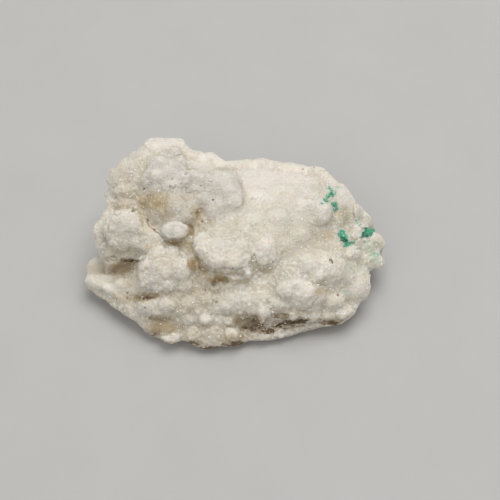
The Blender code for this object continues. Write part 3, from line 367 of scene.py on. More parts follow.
def outline_points(step=3.0):
    """The outline walked in even steps, each with the direction inwards."""
    loop = [Vector(p) for p in OUTLINE]
    walked = []
    for i, p in enumerate(loop):
        q = loop[(i + 1) % len(loop)]
        count = max(1, round((q - p).length / step))
        walked += [p.lerp(q, k / count) for k in range(count)]
    n = len(walked)
    found = []
    for i, p in enumerate(walked):
        along = (walked[(i + 2) % n] - walked[i - 2]).normalized()
        found.append((p, Vector((-along.y, along.x))))
    return found


def outline_radius(angle):
    """How far the outline lies from its centre at an angle, smoothed over a few degrees."""
    cu, cv = CENTRE_UV
    at = np.array(OUTLINE, float) - (cu, cv)
    gap = (np.arctan2(at[:, 1], at[:, 0]) - angle + math.pi) % (2 * math.pi) - math.pi
    w = np.exp(-((gap / 0.05) ** 2)) + 1e-9
    return float((w * np.hypot(at[:, 0], at[:, 1])).sum() / w.sum())


def tuck(down, behind):
    """How far the side turns in, as a share of the way to the middle, at a depth below the rim."""
    return (0.02 + 0.2 * down * down) * (1 - 0.72 * behind) - 0.07 * behind * math.sin(math.pi * down)


def add_core(heap, spokes=72, rings=11):
    """The body under the lobes: the relief as a cap, sides that turn in under it, and a foot."""
    cu, cv = CENTRE_UV
    cap = []
    for j in range(1, rings + 1):
        ring = []
        for k in range(spokes):
            angle = 2 * math.pi * k / spokes
            inset = 7 - 3 * max(0.0, -math.sin(angle))
            reach = (outline_radius(angle) - inset) * j / rings
            u, v = cu + reach * math.cos(angle), cv + reach * math.sin(angle)
            ring.append(surface_point(u, v) - surface_normal(u, v) * 0.0004)
        cap.append(ring)
    rim = cap[-1]
    centre = sum(rim, Vector()) / len(rim)
    for down in (0.15, 0.4, 0.7, 1.0):
        ring = []
        for p in rim:
            share = tuck(down, max(0.0, min(1.0, (p.y - centre.y) / 0.02)))
            ring.append(p.lerp(Vector((centre.x, centre.y, p.z)), share))
            ring[-1].z = p.z * (1 - down) - 0.003 * down
        cap.append(ring)
    corners = [surface_point(cu, cv), Vector((centre.x, centre.y, -0.003))]
    corners += [p for ring in cap for p in ring]
    faces = []
    last = 2 + (len(cap) - 1) * spokes
    for k in range(spokes):
        k2 = (k + 1) % spokes
        faces += [(0, 2 + k2, 2 + k), (1, last + k, last + k2)]
        for j in range(len(cap) - 1):
            a, b = 2 + j * spokes, 2 + (j + 1) * spokes
            faces += [(a + k, a + k2, b + k2), (a + k, b + k2, b + k)]
    heap.add(corners, faces)


def add_rim_beads(heap, rng):
    """Beads along the outline: small round the front, ragged at its foot, broad and sunk at the back."""
    for p, inward in outline_points():
        broad = p.x > 140 and inward.y > 0.3
        ragged = p.x > 140 and p.y > 300
        size = rng.uniform(6.0, 8.0) if broad else rng.uniform(2.4, 4.4) if ragged else rng.uniform(4.2, 6.4)
        u, v = p + inward * size
        here = surface_point(u, v)
        r = size * UNIT * (here - EYE).length / SIGHT_DISTANCE
        sunk = r * (1.05 if broad else 0.55)
        heap.add_ball(Matrix.Translation(here + sight_ray(u, v).normalized() * sunk) @ Matrix.Scale(r, 4))


def add_side_lobes(heap, rng, count=230):
    """Lobes round the sides and the back, below what the reference side shows."""
    cu, cv = CENTRE_UV
    middle = surface_point(cu, cv)
    for _ in range(count):
        angle = rng.uniform(-math.pi, math.pi)
        reach = outline_radius(angle) - 8
        rim = surface_point(cu + reach * math.cos(angle), cv + reach * math.sin(angle))
        down = rng.uniform(0.12, 0.95)
        r = rng.uniform(0.0018, 0.0046) * (1.15 if rim.z > 0.012 else 0.75)
        inward = Vector((middle.x - rim.x, middle.y - rim.y, 0))
        at = rim + inward * tuck(down, max(0.0, min(1.0, (rim.y - middle.y) / 0.02)))
        at.z = rim.z * (1 - down)
        at += inward.normalized() * r * rng.uniform(0.3, 0.65)
        for _ in range(30):
            u, v, unit = sight_place(at)
            if inside_outline(u, v)[0] > r / unit[0] + 0.5:
                break
            at += inward.normalized() * 0.0003
        squash = [r * rng.uniform(0.9, 1.1), r * rng.uniform(0.9, 1.1), r * rng.uniform(0.8, 1.05), 1]
        heap.add_ball(Matrix.Translation(at) @ Matrix.Diagonal(squash))


def lobes_mesh():
    """Every ball and the core as one loose mesh, still overlapping."""
    rng = random.Random(7)
    heap = Heap()
    add_core(heap)
    for row in SWELLINGS:
        heap.add_ball(lobe_matrix(*row, thick=0.5), 4)
    for row in LOBES:
        heap.add_ball(lobe_matrix(*row), 4)
    add_rim_beads(heap, rng)
    add_side_lobes(heap, rng)
    return heap.mesh("lobes")


def mesh_arrays(mesh):
    """The corners and triangles of a mesh as arrays."""
    corners = np.empty(len(mesh.vertices) * 3)
    mesh.vertices.foreach_get("co", corners)
    mesh.calc_loop_triangles()
    faces = np.empty(len(mesh.loop_triangles) * 3, np.int32)
    mesh.loop_triangles.foreach_get("vertices", faces)
    return corners.reshape(-1, 3), faces.reshape(-1, 3)


def knobbliness(points, normals):
    """1 where the outside is knobbly and 0 where it is smooth."""
    u, v, _ = sight_place(points)
    smooth = np.zeros(len(points))
    for zu, zv, across, along in SMOOTH_ZONES:
        d = ((u - zu) / across) ** 2 + ((v - zv) / along) ** 2
        smooth = np.maximum(smooth, np.clip(1.6 - 1.3 * d, 0, 1))
    return 1 - smooth * np.clip(0.3 - normals @ np.array(FORWARD) * 2, 0, 1)


def add_knobs(heap, mesh, seed, count, spacing, sizes, stand):
    """Small knobs scattered over a mesh, no two nearer than spacing, fewer where it is smooth."""
    rng = np.random.default_rng(seed)
    corners, faces = mesh_arrays(mesh)
    a, b, c = (corners[faces[:, i]] for i in range(3))
    n = np.cross(b - a, c - a)
    area = np.linalg.norm(n, axis=1)
    n /= np.maximum(area, 1e-18)[:, None]
    pick = np.searchsorted(np.cumsum(area), rng.random(count) * area.sum())
    s, t = rng.random(count), rng.random(count)
    over = s + t > 1
    s[over], t[over] = 1 - s[over], 1 - t[over]
    at = a[pick] + (b[pick] - a[pick]) * s[:, None] + (c[pick] - a[pick]) * t[:, None]
    n = n[pick]
    wanted = (rng.random(count) < knobbliness(at, n)) & (at[:, 2] > 0.0015) & (n[:, 2] > -0.75)
    taken = {}
    for p, m in zip(at[wanted], n[wanted]):
        cell = tuple((p // spacing).astype(int))
        near = [q for dx in (-1, 0, 1) for dy in (-1, 0, 1) for dz in (-1, 0, 1)
                for q in taken.get((cell[0] + dx, cell[1] + dy, cell[2] + dz), ())]
        if any(((p - q) ** 2).sum() < spacing**2 for q in near):
            continue
        taken.setdefault(cell, []).append(p)
        r = rng.uniform(*sizes)
        centre = p - m * r * (1 - rng.uniform(*stand))
        shape = Matrix.Diagonal((*(rng.uniform(0.85, 1.15, 3) * r), 1))
        u, v, unit = sight_place(centre)
        if inside_outline(u, v)[0] < r / unit[0] - 0.6:
            continue
        heap.add_ball(Matrix.Translation(Vector(centre)) @ shape, 2)


def evaluated(obj):
    graph = bpy.context.evaluated_depsgraph_get()
    return bpy.data.meshes.new_from_object(obj.evaluated_get(graph), depsgraph=graph)


def keep_largest(mesh):
    """Drops every piece but the largest, such as a crumb that floats free."""
    n = len(mesh.vertices)
    ends = np.empty(len(mesh.edges) * 2, np.int32)
    mesh.edges.foreach_get("vertices", ends)
    a, b = ends[::2], ends[1::2]
    label = np.arange(n)
    while True:
        low = label.copy()
        np.minimum.at(low, a, label[b])
        np.minimum.at(low, b, label[a])
        low = low[low]
        if (low == label).all():
            break
        label = low
    names, sizes = np.unique(label, return_counts=True)
    keep = names[sizes.argmax()]
    if len(names) > 1:
        bm = bmesh.new()
        bm.from_mesh(mesh)
        bmesh.ops.delete(bm, geom=[v for v in bm.verts if label[v.index] != keep], context="VERTS")
        bm.to_mesh(mesh)
        bm.free()


def trim_base(mesh, height):
    """Cuts the underside flat at a height and closes the cut."""
    bm = bmesh.new()
    bm.from_mesh(mesh)
    cut = bmesh.ops.bisect_plane(
        bm,
        geom=bm.verts[:] + bm.edges[:] + bm.faces[:],
        plane_co=(0, 0, height),
        plane_no=(0, 0, -1),
        clear_outer=True,
        dist=1e-6,
    )
    edges = [e for e in cut["geom_cut"] if isinstance(e, bmesh.types.BMEdge)]
    bmesh.ops.holes_fill(bm, edges=edges, sides=0)
    bmesh.ops.recalc_face_normals(bm, faces=bm.faces)
    bm.to_mesh(mesh)
    bm.free()


def fuse(mesh, voxel, soften, faces=0):
    """Joins overlapping shells into one skin, softens it and thins it to a number of triangles."""
    obj = bpy.data.objects.new("fuse", mesh)
    bpy.context.scene.collection.objects.link(obj)
    skin = obj.modifiers.new("skin", "REMESH")
    skin.mode = "VOXEL"
    skin.voxel_size = voxel
    soft = obj.modifiers.new("soft", "SMOOTH")
    soft.factor = 0.5
    soft.iterations = soften
    mesh = evaluated(obj)
    keep_largest(mesh)
    obj.modifiers.clear()
    obj.data = mesh
    triangles = sum(len(p.vertices) - 2 for p in mesh.polygons)
    if faces and faces < triangles:
        thin = obj.modifiers.new("thin", "DECIMATE")
        thin.ratio = faces / triangles
        thin.use_collapse_triangulate = True
        mesh = evaluated(obj)
    bpy.data.objects.remove(obj)
    return mesh


# ---- The finer skin, modelled for looks -------------------------------------------------------
SKIN_VOXEL = 0.0003
SKIN_FACES = 197000
KNOB_VOXEL = 0.00045

# Furrows: half width and depth in mm, then the places they run through.
FURROWS = (
    (0.3, 0.8, ((147.5, 219.5), (149.5, 226.5), (153, 228.5), (156, 232.5), (159, 235), (163, 238))),
    (0.4, 0.25, ((168, 188.5), (172, 187.5), (176, 187))),
    (0.5, 0.4, ((122, 259), (126, 261), (131, 260), (136, 262), (143, 260))),
    (0.5, 0.3, ((137, 297), (145, 299), (153, 298), (159, 295))),
    (0.5, 0.4, ((150, 318), (156, 319.5), (163, 320), (170, 318.5))),
    (0.4, 0.35, ((191.5, 226), (192, 231), (191, 236))),
    (0.4, 0.25, ((166, 241), (173, 243), (182, 241.5))),
    (0.4, 0.25, ((214, 282), (222, 279.5), (231, 278))),
    (0.3, 0.35, ((331, 259), (332.5, 261.5), (331, 262.5))),
)

# Pits: place, radius and depth in mm.
PITS = (
    (144, 189, 0.5, 0.5), (133, 211, 0.5, 0.4), (197, 212, 0.8, 0.7), (202, 222, 0.6, 0.5),
    (213, 200, 0.5, 0.4), (338, 295, 0.45, 0.5), (303, 169, 0.4, 0.3), (127, 298, 0.5, 0.4),
    (216, 302, 0.5, 0.4), (201, 186, 0.4, 0.3), (252, 199, 0.5, 0.25), (215, 284, 1.2, 0.8),
    (226, 280, 1.2, 0.7), (186, 174, 0.5, 0.4), (172, 179, 0.4, 0.3), (270, 330, 0.8, 0.6),
)

# The edge of the glassy cluster, clockwise; its last side, the lower left one, is soft.
GLASS_EDGE = (
    (143, 187), (142, 182), (142, 175), (146, 170), (147, 166), (147.5, 162), (149, 160), (151, 157),
    (155, 156), (160, 155.5), (163, 156), (168, 154.5), (170, 150), (172, 148), (176, 147), (180, 150),
    (181, 155), (184, 157), (185.5, 160), (186, 165), (187, 170), (190, 170.5), (196, 170), (199, 172),
    (204, 173), (208, 174), (210, 171), (215, 170), (222, 170), (228, 170), (234, 172), (238, 176),
    (241, 180), (241.5, 185), (240.5, 190), (242, 196), (243, 201), (241, 206), (236, 209), (229, 210),
    (226, 216), (221, 219.5), (215, 221), (209, 219.5), (204.5, 215), (203, 208),
)

# Plateaus: height in mm, softness of the edge in units, whether glassy, then the edge, clockwise.
PLATEAUS = (
    (1.1, 6.0, False, ((198, 270), (210, 273), (230, 274), (240, 278), (233, 288), (214, 291), (202, 285))),
    (1.0, 5.0, False, ((105, 262), (120, 260), (137, 263), (137, 273), (120, 277), (106, 273))),
    (0.8, 4.0, False, ((187, 257), (194, 252), (199, 262), (198, 274), (191, 272))),
    (-0.8, 6.0, False, ((235, 321), (243, 312), (253, 311), (261, 317), (265, 326), (258, 335), (246, 335), (237, 330))),
    (-0.9, 1.4, False, ((241, 328), (247, 322.5), (254, 319), (260, 321), (260, 325.5), (253, 328), (246, 330.5))),
    (-0.6, 1.0, False, ((245, 318), (250, 315.5), (256, 316), (254, 318), (248, 319.5))),
    (-0.7, 1.0, False, ((244, 334), (251, 331), (258, 330.5), (256, 333), (249, 335))),
    (-0.8, 1.0, False, ((259, 327), (264, 324), (270, 324.5), (266, 327), (262, 329))),
    (-0.4, 1.0, False, ((226, 327), (233, 325.5), (242, 325), (240, 327), (232, 328))),
    (-1.1, 1.4, False, (
        (262, 330), (268, 327), (275, 325.5), (283, 322.5), (292, 320.5), (302, 318), (309, 317.5),
        (304, 320.5), (293, 324), (285, 327), (278, 331), (270, 334), (264, 334))),
    (-0.8, 1.2, False, ((318, 322.5), (326, 320.5), (338, 319.3), (346, 318.5), (343, 321.5), (334, 324), (322, 326))),
    (-0.6, 1.4, False, ((271, 314), (280, 312.5), (288, 314), (287, 317.5), (279, 319), (272, 318))),
    (-0.5, 1.4, False, ((142, 330), (152, 331), (160, 334), (158, 338), (150, 336), (143, 333))),
    (0.9, 1.0, True, (
        (161, 229), (162.5, 225), (167, 222.3), (174, 221.5), (181, 222.5), (187, 225), (189.5, 229.5),
        (188.5, 234), (184, 237.5), (177, 239.5), (170, 239), (164.5, 236.5), (161.5, 233))),
    (0.45, 1.2, False, (
        (243.5, 272), (244.5, 269), (247, 267.5), (250, 268), (251, 271), (250.5, 275), (248, 277), (245, 276))),
    (0.4, 1.4, False, ((336, 314), (338, 310), (342, 308.5), (346, 310), (348, 314), (346, 318), (341, 320), (337, 318.5))),
    (0.45, 1.4, False, ((187, 335), (187, 330), (190, 327), (195, 326.5), (199, 329), (201, 334), (200, 340), (193, 342), (188, 340))),
    (0.5, 1.4, False, ((225.5, 336), (226, 330), (229, 327.5), (235, 327), (240, 328.5), (242, 332), (242, 337), (239, 341), (232, 342), (227, 341))),
    (0.35, 1.4, False, ((199, 319), (201, 315), (205, 314), (209, 315.5), (211, 319), (209, 323), (204, 324.5), (200, 323))),
    (0.4, 1.2, False, ((224.5, 320), (226, 317), (229, 316.5), (232, 319), (232.5, 322), (230, 324.5), (226, 324))),
    (0.55, 1.2, False, ((160, 338), (165, 336), (170, 335.5), (173, 333.5), (178, 334.5), (181, 338), (179, 341), (175, 343.5), (168, 342))),
    (0.35, 1.5, False, ((159, 306), (159.5, 301), (163, 298.5), (168, 298.5), (173, 301), (176, 306), (174, 311), (167, 313), (161, 311))),
    (0.35, 1.4, False, ((351, 233), (352, 227.5), (356, 224.5), (360, 226), (362, 230), (361.5, 235), (358, 238), (353, 238))),
    (0.22, 1.4, False, ((345.5, 254), (347, 251.5), (351, 251), (354, 253), (354, 256.5), (351, 258), (347, 257.5))),
)

# Ledges: height in mm, how far the height carries, then a line with the high side on its right.
LEDGES = (
    (0.72, 16, GLASS_EDGE),
    (0.8, 12, ((109, 233), (109, 226), (111, 220), (114, 216), (118, 217), (121, 214), (122, 211), (126, 210.5),
               (129, 209.5), (133, 209.5), (136, 211), (138, 214), (140, 217), (141, 222), (142, 228), (141, 235))),
    (0.45, 8, ((101, 250), (101, 245), (104, 241.5), (108, 240.5), (113, 241), (117, 243), (120, 246), (121, 251))),
    (0.75, 10, ((197, 257), (194, 251), (193.5, 245), (194, 238), (196, 234.5), (200, 232.5), (205, 233.5), (210, 237), (213, 241))),
    (0.3, 8, ((168, 214), (166, 208), (166, 202), (169, 196), (174, 194), (180, 196), (184, 201), (186, 207))),
    (0.7, 7, ((146, 257), (138, 259.5), (130, 259), (123, 258.5), (115, 259.5), (108, 258), (102, 257))),
    (0.6, 10, ((141, 290), (138, 284), (138.5, 277), (138, 270), (140, 264), (144, 258), (150, 252), (157, 249))),
    (0.6, 8, ((165, 288), (161, 291), (154, 292.5), (147, 293.5), (140, 291))),
    (0.45, 8, ((182, 250), (187, 257), (187, 263), (188.5, 269), (191, 275), (193, 281))),
    (0.8, 9, ((246, 267), (242, 267.8), (238, 268.5), (230, 268), (222, 266.5), (216, 268), (211, 267.5), (207, 264), (203, 260), (197, 257))),
    (0.12, 5, ((250, 278.5), (243, 279.5), (235, 279.5), (226, 277.5), (218, 276.5), (210, 277.5))),
    (0.4, 7, ((270, 236), (275, 241), (276.5, 249), (275.5, 257), (272, 262.5), (265, 265), (258, 263.5), (255.5, 258), (256, 250))),
    (0.55, 9, ((303, 279), (311, 282.5), (315, 288), (316.5, 293), (315.5, 299), (312, 305), (305, 308))),
    (0.5, 5, ((300, 316), (297, 319.5), (292, 320.5), (289.5, 318), (289, 312))),
    (0.35, 5, ((173, 317), (170, 318.5), (163, 320.5), (157, 320), (150, 318))),
    (0.8, 7, ((375, 250.5), (371, 248), (369, 243.5), (369.5, 238.5), (372.5, 234.5), (377, 232.5))),
    (0.7, 7, ((371, 271), (368, 266.5), (367.5, 260.5), (370, 256.5), (375, 254), (380, 255))),
    (0.6, 7, ((369, 228.5), (364, 227), (359, 222.5), (355.5, 216), (354, 209), (354.5, 203.5))),
    (0.3, 8, ((338, 226), (336.5, 218), (337, 210), (336, 201), (334, 193), (335, 186))),
    (0.35, 9, ((328, 200), (332, 206), (333, 213), (331, 219), (326, 223), (319, 226), (312, 224), (308, 219))),
    (0.35, 8, ((348, 282), (352, 276), (358, 272.5), (366, 271.5))),
    (0.3, 8, ((338, 279), (333, 283), (325, 284.5), (316, 283))),
    (0.2, 7, ((243, 176), (250, 177.5), (258, 176.5), (266, 177.5), (275, 179))),
    (0.18, 6, ((170, 168), (170, 160), (169.5, 153), (171, 149))),
    (0.2, 7, ((152, 187), (150.5, 181), (151, 175), (154, 171))),
    (0.22, 8, ((206, 192), (205, 185), (206.5, 178), (209, 173))),
    (0.2, 7, ((222, 212), (218, 206), (219, 199), (224, 196))),
    (0.25, 6, ((171, 279), (170, 272), (172, 265), (176, 261))),
    (0.3, 7, ((212, 252), (211, 258), (213, 263))),
    (0.3, 7, ((152, 262), (158, 258), (165, 257), (170, 261))),
    (0.3, 7, ((232, 312), (224, 314), (215, 311), (208, 313))),
    (0.3, 7, ((187, 312), (180, 315), (172, 312))),
    (0.35, 7, ((118, 166), (124, 162), (131, 163), (136, 168), (137, 175))),
    (0.3, 7, ((118, 190), (117, 184), (120, 179), (126, 178))),
    (0.3, 7, ((283, 300), (276, 303), (269, 301), (265, 296))),
    (0.3, 7, ((338, 304), (331, 307), (324, 305), (319, 300))),
)

# Stains and tones of the skin: place, reach across, reach down, strength. The brown, tan and bleached rows also paint
# shade and light, as noted at each.
TONES = {
    # Brown stains in cracks and recesses; many rows along the foot and under the lumps are painted shadow.
    "brown_and_shadow": (
        (121, 267, 18, 9, 0.22), (131, 262, 10, 4, 0.35), (118, 273, 14, 6, 0.1), (133, 260.5, 11, 2.2, 0.9),
        (113, 257, 8, 1.5, 0.4), (146, 298, 12, 4, 0.7), (152, 295, 10, 4, 0.45), (193, 264, 3, 4, 0.12),
        (214, 284.5, 4, 1.8, 0.22), (212, 276, 3, 1.2, 0.3), (226, 268.5, 12, 1.2, 0.3),
        (202, 270, 6, 7, 0.22), (254, 326.5, 12, 7.5, 0.74), (244, 327, 11, 7, 0.4), (262, 330.5, 9, 4.5, 0.6), (250, 337, 15, 3, 0.4),
        (269, 330.5, 9, 4.4, 0.9), (281, 325.5, 11, 4, 1.0), (293, 322, 12, 4, 1.0), (290, 324, 24, 6, 0.75), (304, 320, 9, 3, 0.8),
        (250, 323, 21, 13, 0.34), (241, 317, 9, 4, 0.3), (232, 326, 8, 3, 0.35), (280, 316, 12, 5, 0.7), (330, 323, 17, 4, 1.0), (235, 345.5, 18, 4.4, 1.0), (192, 344, 13, 4.6, 1.0), (245, 342, 10, 2.5, 0.6),
        (214, 348, 18, 3.6, 0.95), (222, 326, 5, 2, 0.3), (240, 333, 3, 5, 0.4), (262, 324, 3, 6, 0.5), (296, 317, 14, 2.4, 0.4),
        (150, 334, 10, 2.6, 0.6), (165, 331, 12, 3, 0.4), (163, 326, 18, 8, 0.24), (236, 339, 16, 6, 0.18), (182, 327, 3, 5, 0.4), (205, 348, 10, 1.6, 0.6),
        (205, 291, 1.2, 1.2, 0.6), (203.5, 294, 1.2, 1.2, 0.5), (213, 300.5, 1.5, 2.5, 0.5), (215.5, 303, 1.2, 1.6, 0.8),
        (144, 189, 2, 1.2, 0.9), (133, 211, 2, 1.1, 0.8), (213, 200, 1.6, 1.4, 0.8), (197, 212, 2.4, 1.8, 0.8),
        (202, 221.5, 1.6, 1.6, 0.5), (338.5, 295, 1.4, 1.6, 0.9), (303, 169, 1.5, 1.2, 0.7), (127, 298, 1.6, 1.4, 0.7),
        (186, 173.5, 1.6, 1.6, 0.5), (182, 183, 1.4, 1.6, 0.4), (252, 199, 2, 1.4, 0.25), (187, 205, 3, 2, 0.3),
        (242.5, 177, 1.2, 1, 0.4), (282, 193, 1.4, 1.2, 0.3), (128, 292, 1.6, 1.4, 0.5), (136, 318, 2, 1.6, 0.4),
        (148, 308, 1.4, 1.4, 0.4), (246, 314.5, 2, 1, 0.5), (268, 259.5, 2, 1.2, 0.3), (114, 272, 3, 1.2, 0.3),
    ),
    # Tan tint, also painted shade in the recesses and on the lower faces of lumps.
    "tan_and_shade": (
        (154, 202, 26, 13, 0.9), (140, 198, 12, 9, 0.25), (96, 270, 14, 10, 0.3), (166, 268, 24, 18, 0.18), (124, 226, 18, 18, 0.1), (222, 258, 24, 12, 0.15), (378, 241, 9, 9, 0.25), (163, 326, 20, 8, 0.3), (148, 297, 14, 6, 0.3), (118, 266, 16, 7, 0.25), (163, 212, 18, 10, 0.5), (175, 197, 26, 6, 0.3), (160, 191, 18, 5, 0.3), (127, 298, 24, 9, 0.4), (145, 212, 10, 14, 0.3), (127, 193, 12, 8, 0.5), (120, 205, 15, 7, 0.45), (197, 213, 10, 12, 0.6),
        (190, 232, 6, 12, 0.5), (174, 243, 17, 5, 0.6), (189, 248, 7, 10, 0.5), (196, 264, 12, 10, 0.6),
        (213, 278, 20, 8, 0.6), (240, 282, 16, 4, 0.4), (264, 270, 13, 4.5, 0.55), (122, 268, 22, 12, 0.6),
        (146, 297, 18, 8, 0.6), (160, 319, 22, 7, 0.7), (163, 328, 24, 8, 0.95), (235, 339, 20, 7, 0.3), (185, 300, 34, 22, 0.36),
        (205, 290, 24, 12, 0.25), (300, 240, 42, 26, 0.2), (320, 291, 8, 6, 0.55), (327, 236, 10, 6, 0.45),
        (343, 214, 13, 11, 0.6), (250, 322, 24, 11, 0.4), (233, 338, 18, 8, 0.5), (290, 312, 24, 6, 0.35), (330, 300, 22, 12, 0.2),
        (127, 174, 26, 22, 0.28), (205, 222, 16, 6, 0.45), (232, 226, 18, 8, 0.25), (205, 334, 34, 12, 0.3),
        (145, 226, 7, 14, 0.35), (128, 282, 12, 8, 0.35), (118, 252, 24, 6, 0.2), (102, 238, 12, 16, 0.15), (245, 318, 24, 6, 0.4),
        (335, 318, 24, 5, 0.35), (228, 273, 20, 5, 0.35), (165, 212, 14, 10, 0.3), (185, 200, 12, 7, 0.3),
    ),
    "ochre": (
        (193, 265, 7, 9, 0.6), (190, 262, 5, 6, 0.4), (196, 256, 3, 8, 0.4), (198, 213, 5, 6, 0.5), (192, 230, 4, 8, 0.45),
        (176, 243, 13, 3.5, 0.45), (150, 247, 9, 5, 0.3), (134, 261, 10, 2.5, 0.5), (152, 228, 5, 8, 0.3),
        (204, 270, 9, 8, 0.5), (217, 280, 13, 5, 0.85), (232, 280, 10, 3, 0.4), (148, 196, 9, 5, 0.08), (120, 195, 9, 5, 0.15),
        (320, 292, 5, 4, 0.3), (148, 297, 10, 3, 0.3), (160, 205, 12, 7, 0.08),
    ),
    "green": (
        (331, 193, 7, 9, 0.5), (325, 200, 5, 4, 0.5), (335, 206, 4, 5, 0.5), (343, 237, 8, 7, 0.4),
        (347, 245, 6, 4, 0.5), (352, 241, 5, 3, 0.4), (368, 232, 10, 6, 0.4), (375, 255, 7, 4.5, 0.8),
        (371, 250, 14, 14, 0.2), (346, 292, 6, 5, 0.3), (358, 221, 6, 6, 0.4), (354, 244, 6, 6, 0.25),
        (377, 262, 8, 6, 0.2), (322, 203, 3, 3, 0.3), (356, 268, 18, 12, 0.12), (343, 214, 14, 10, 0.12),
    ),
    # Pale bleached tint, which also paints the light on the lit back slope and lumps.
    "bleached_and_lit": (
        (165, 143, 27, 8, 0.8), (212, 160, 32, 10, 0.9), (255, 177, 30, 22, 0.9), (262, 194, 26, 15, 0.9),
        (295, 176, 34, 16, 0.9), (300, 200, 30, 16, 0.4), (332, 180, 16, 9, 0.6), (196, 160, 12, 9, 0.9),
        (224, 257, 22, 11, 0.6), (203, 243, 8, 10, 0.5), (265, 249, 12, 14, 1), (247.5, 272, 4, 5, 1), (262, 312, 4, 9, 0.9),
        (322, 266, 20, 14, 0.8), (350, 300, 12, 12, 0.3), (330, 300, 15, 10, 0.35), (262, 172, 20, 9, 0.5), (163, 268, 24, 18, 0.4), (300, 290, 20, 13, 0.9), (341, 315, 6, 5, 1), (171, 339, 10, 4.5, 1),
        (103, 285, 16, 4, 0.8), (205, 318, 7, 5, 0.5),
        (233, 333, 7, 6, 0.4), (293, 315, 5, 5, 0.4), (283, 333, 8, 3, 0.6),
    ),
    "glassy": (
        (176, 206, 10, 14, 0.5), (125, 226, 18, 20, 0.6), (96, 268, 14, 10, 0.35), (103, 240, 12, 16, 0.6),
        (152, 275, 18, 18, 0.4), (180, 268, 14, 16, 0.35), (300, 293, 18, 14, 0.1), (320, 212, 14, 14, 0.45), (343, 200, 12, 16, 0.45),
        (357, 231, 7, 8, 0.5), (290, 216, 36, 18, 0.45), (127, 174, 22, 20, 0.4), (300, 238, 30, 18, 0.3),
        (166, 268, 22, 18, 0.15), (375, 242, 8, 8, 0.4), (375, 262, 8, 7, 0.3),
    ),
    "ragged": (
        (252, 330, 14, 12, 1), (280, 328, 24, 9, 1), (305, 324, 16, 7, 1), (222, 343, 18, 6, 0.6),
        (135, 261, 10, 3, 0.8), (148, 297, 12, 5, 0.8), (330, 322, 14, 4, 0.8), (200, 344, 14, 5, 0.6),
    ),
    "polished": (
        (120, 267, 17, 8, 0.9), (97, 268, 14, 11, 0.6), (163, 328, 20, 7, 0.8),
        (262, 188, 60, 30, 0.35), (212, 163, 34, 12, 0.3), (126, 226, 19, 20, 1), (163, 168, 22, 16, 0.5), (215, 190, 30, 22, 0.5),
        (320, 212, 12, 12, 0.3), (343, 200, 14, 14, 0.3), (175, 230.5, 14, 9, 0.7),
    ),
}

# Small dark marks: place, reach across, reach down.
MARKS = (
    (330.0, 259.8, 1.9, 1.2), (331.8, 261.2, 1.1, 1.7), (332.6, 263, 0.9, 0.9), (338.2, 294.8, 0.9, 1.5),
    (144, 189.4, 1.6, 0.9), (133, 211, 1.9, 0.8), (213, 199.8, 1.2, 1.0), (197.5, 212, 1.6, 1.2),
    (202.5, 221.6, 1.2, 1.2), (303, 169, 1.2, 0.8), (314, 167.5, 1.0, 0.7), (127.5, 293, 0.9, 1.2),
    (205.5, 290, 0.7, 0.9), (207, 293.5, 0.8, 0.8), (213, 299.5, 0.9, 0.9), (215.3, 303, 0.8, 1.7),
    (145, 307.5, 0.9, 1.0), (172.5, 178.5, 0.8, 0.8), (186.5, 173.8, 0.8, 0.8), (201, 186, 0.8, 0.7),
    (242.3, 177, 0.7, 0.9), (187, 205.5, 1.4, 0.8), (280, 193, 0.9, 0.7), (164, 241, 1.0, 0.8),
    (111.5, 256.6, 1.6, 0.8), (124, 205, 1.4, 0.8), (148.5, 220.5, 0.8, 1.6), (150, 226.5, 1.4, 0.8),
    (155, 230, 1.2, 0.9), (214, 284.5, 1.5, 1.0), (232.5, 268.3, 1.3, 0.7), (234.5, 312, 1.0, 0.7),
    (268, 330.5, 1.6, 0.7), (273, 327.5, 1.6, 0.6), (250.5, 325.5, 2.2, 0.7), (257, 322.5, 1.6, 0.7),
    (247, 331, 1.4, 0.6), (292, 323, 4.0, 0.7), (284, 325, 2.6, 0.7), (300, 320.5, 3.0, 0.6), (211, 315, 1.2, 0.6),
)

# Places of the brightest crystal faces.
GLINTS = (
    (171, 233), (175, 226), (172, 229), (177, 230), (169, 230), (174, 234), (268, 247), (274, 249), (237, 231),
    (237, 242), (297, 284.5), (132, 173), (165, 169), (164, 181), (232, 185), (228, 318), (261, 317),
    (208, 293), (236, 286), (352, 302), (354, 308), (344, 303), (343, 313), (269, 268), (178, 266), (188, 270),
    (150, 250), (103, 284), (216, 190), (214, 192), (230, 204), (283, 292), (253, 262), (290, 253), (259, 248),
    (309, 248), (196, 196), (347, 290), (341, 297), (158, 157), (134, 169), (226, 174), (206, 176), (172, 338),
    (205, 317), (142, 311), (268, 297), (263, 240), (318, 243), (121, 212), (238, 216), (236, 213), (262, 201),
)


def smoothstep(t):
    t = np.clip(t, 0, 1)
    return t * t * (3 - 2 * t)


class Side:
    """The reference side of a finished mesh: what lies under each (u, v)."""

    def __init__(self, mesh):
        corners, faces = mesh_arrays(mesh)
        self.tree = BVHTree.FromPolygons(corners.tolist(), faces.tolist())

    def hit(self, u, v):
        place, normal, _, _ = self.tree.ray_cast(EYE, sight_ray(u, v).normalized())
        return place, normal

    def run(self, points, places, step=0.8):
        """The distance from each point to a line drawn over the surface."""
        found = []
        for (u0, v0), (u1, v1) in zip(places, places[1:]):
            count = max(1, round(math.hypot(u1 - u0, v1 - v0) / step))
            for k in range(count):
                place, _ = self.hit(u0 + (u1 - u0) * k / count, v0 + (v1 - v0) * k / count)
                if place is not None:
                    found.append(place)
        gap = np.full(len(points), 1.0)
        for place in found:
            gap = np.minimum(gap, np.linalg.norm(points - np.array(place), axis=1))
        return gap


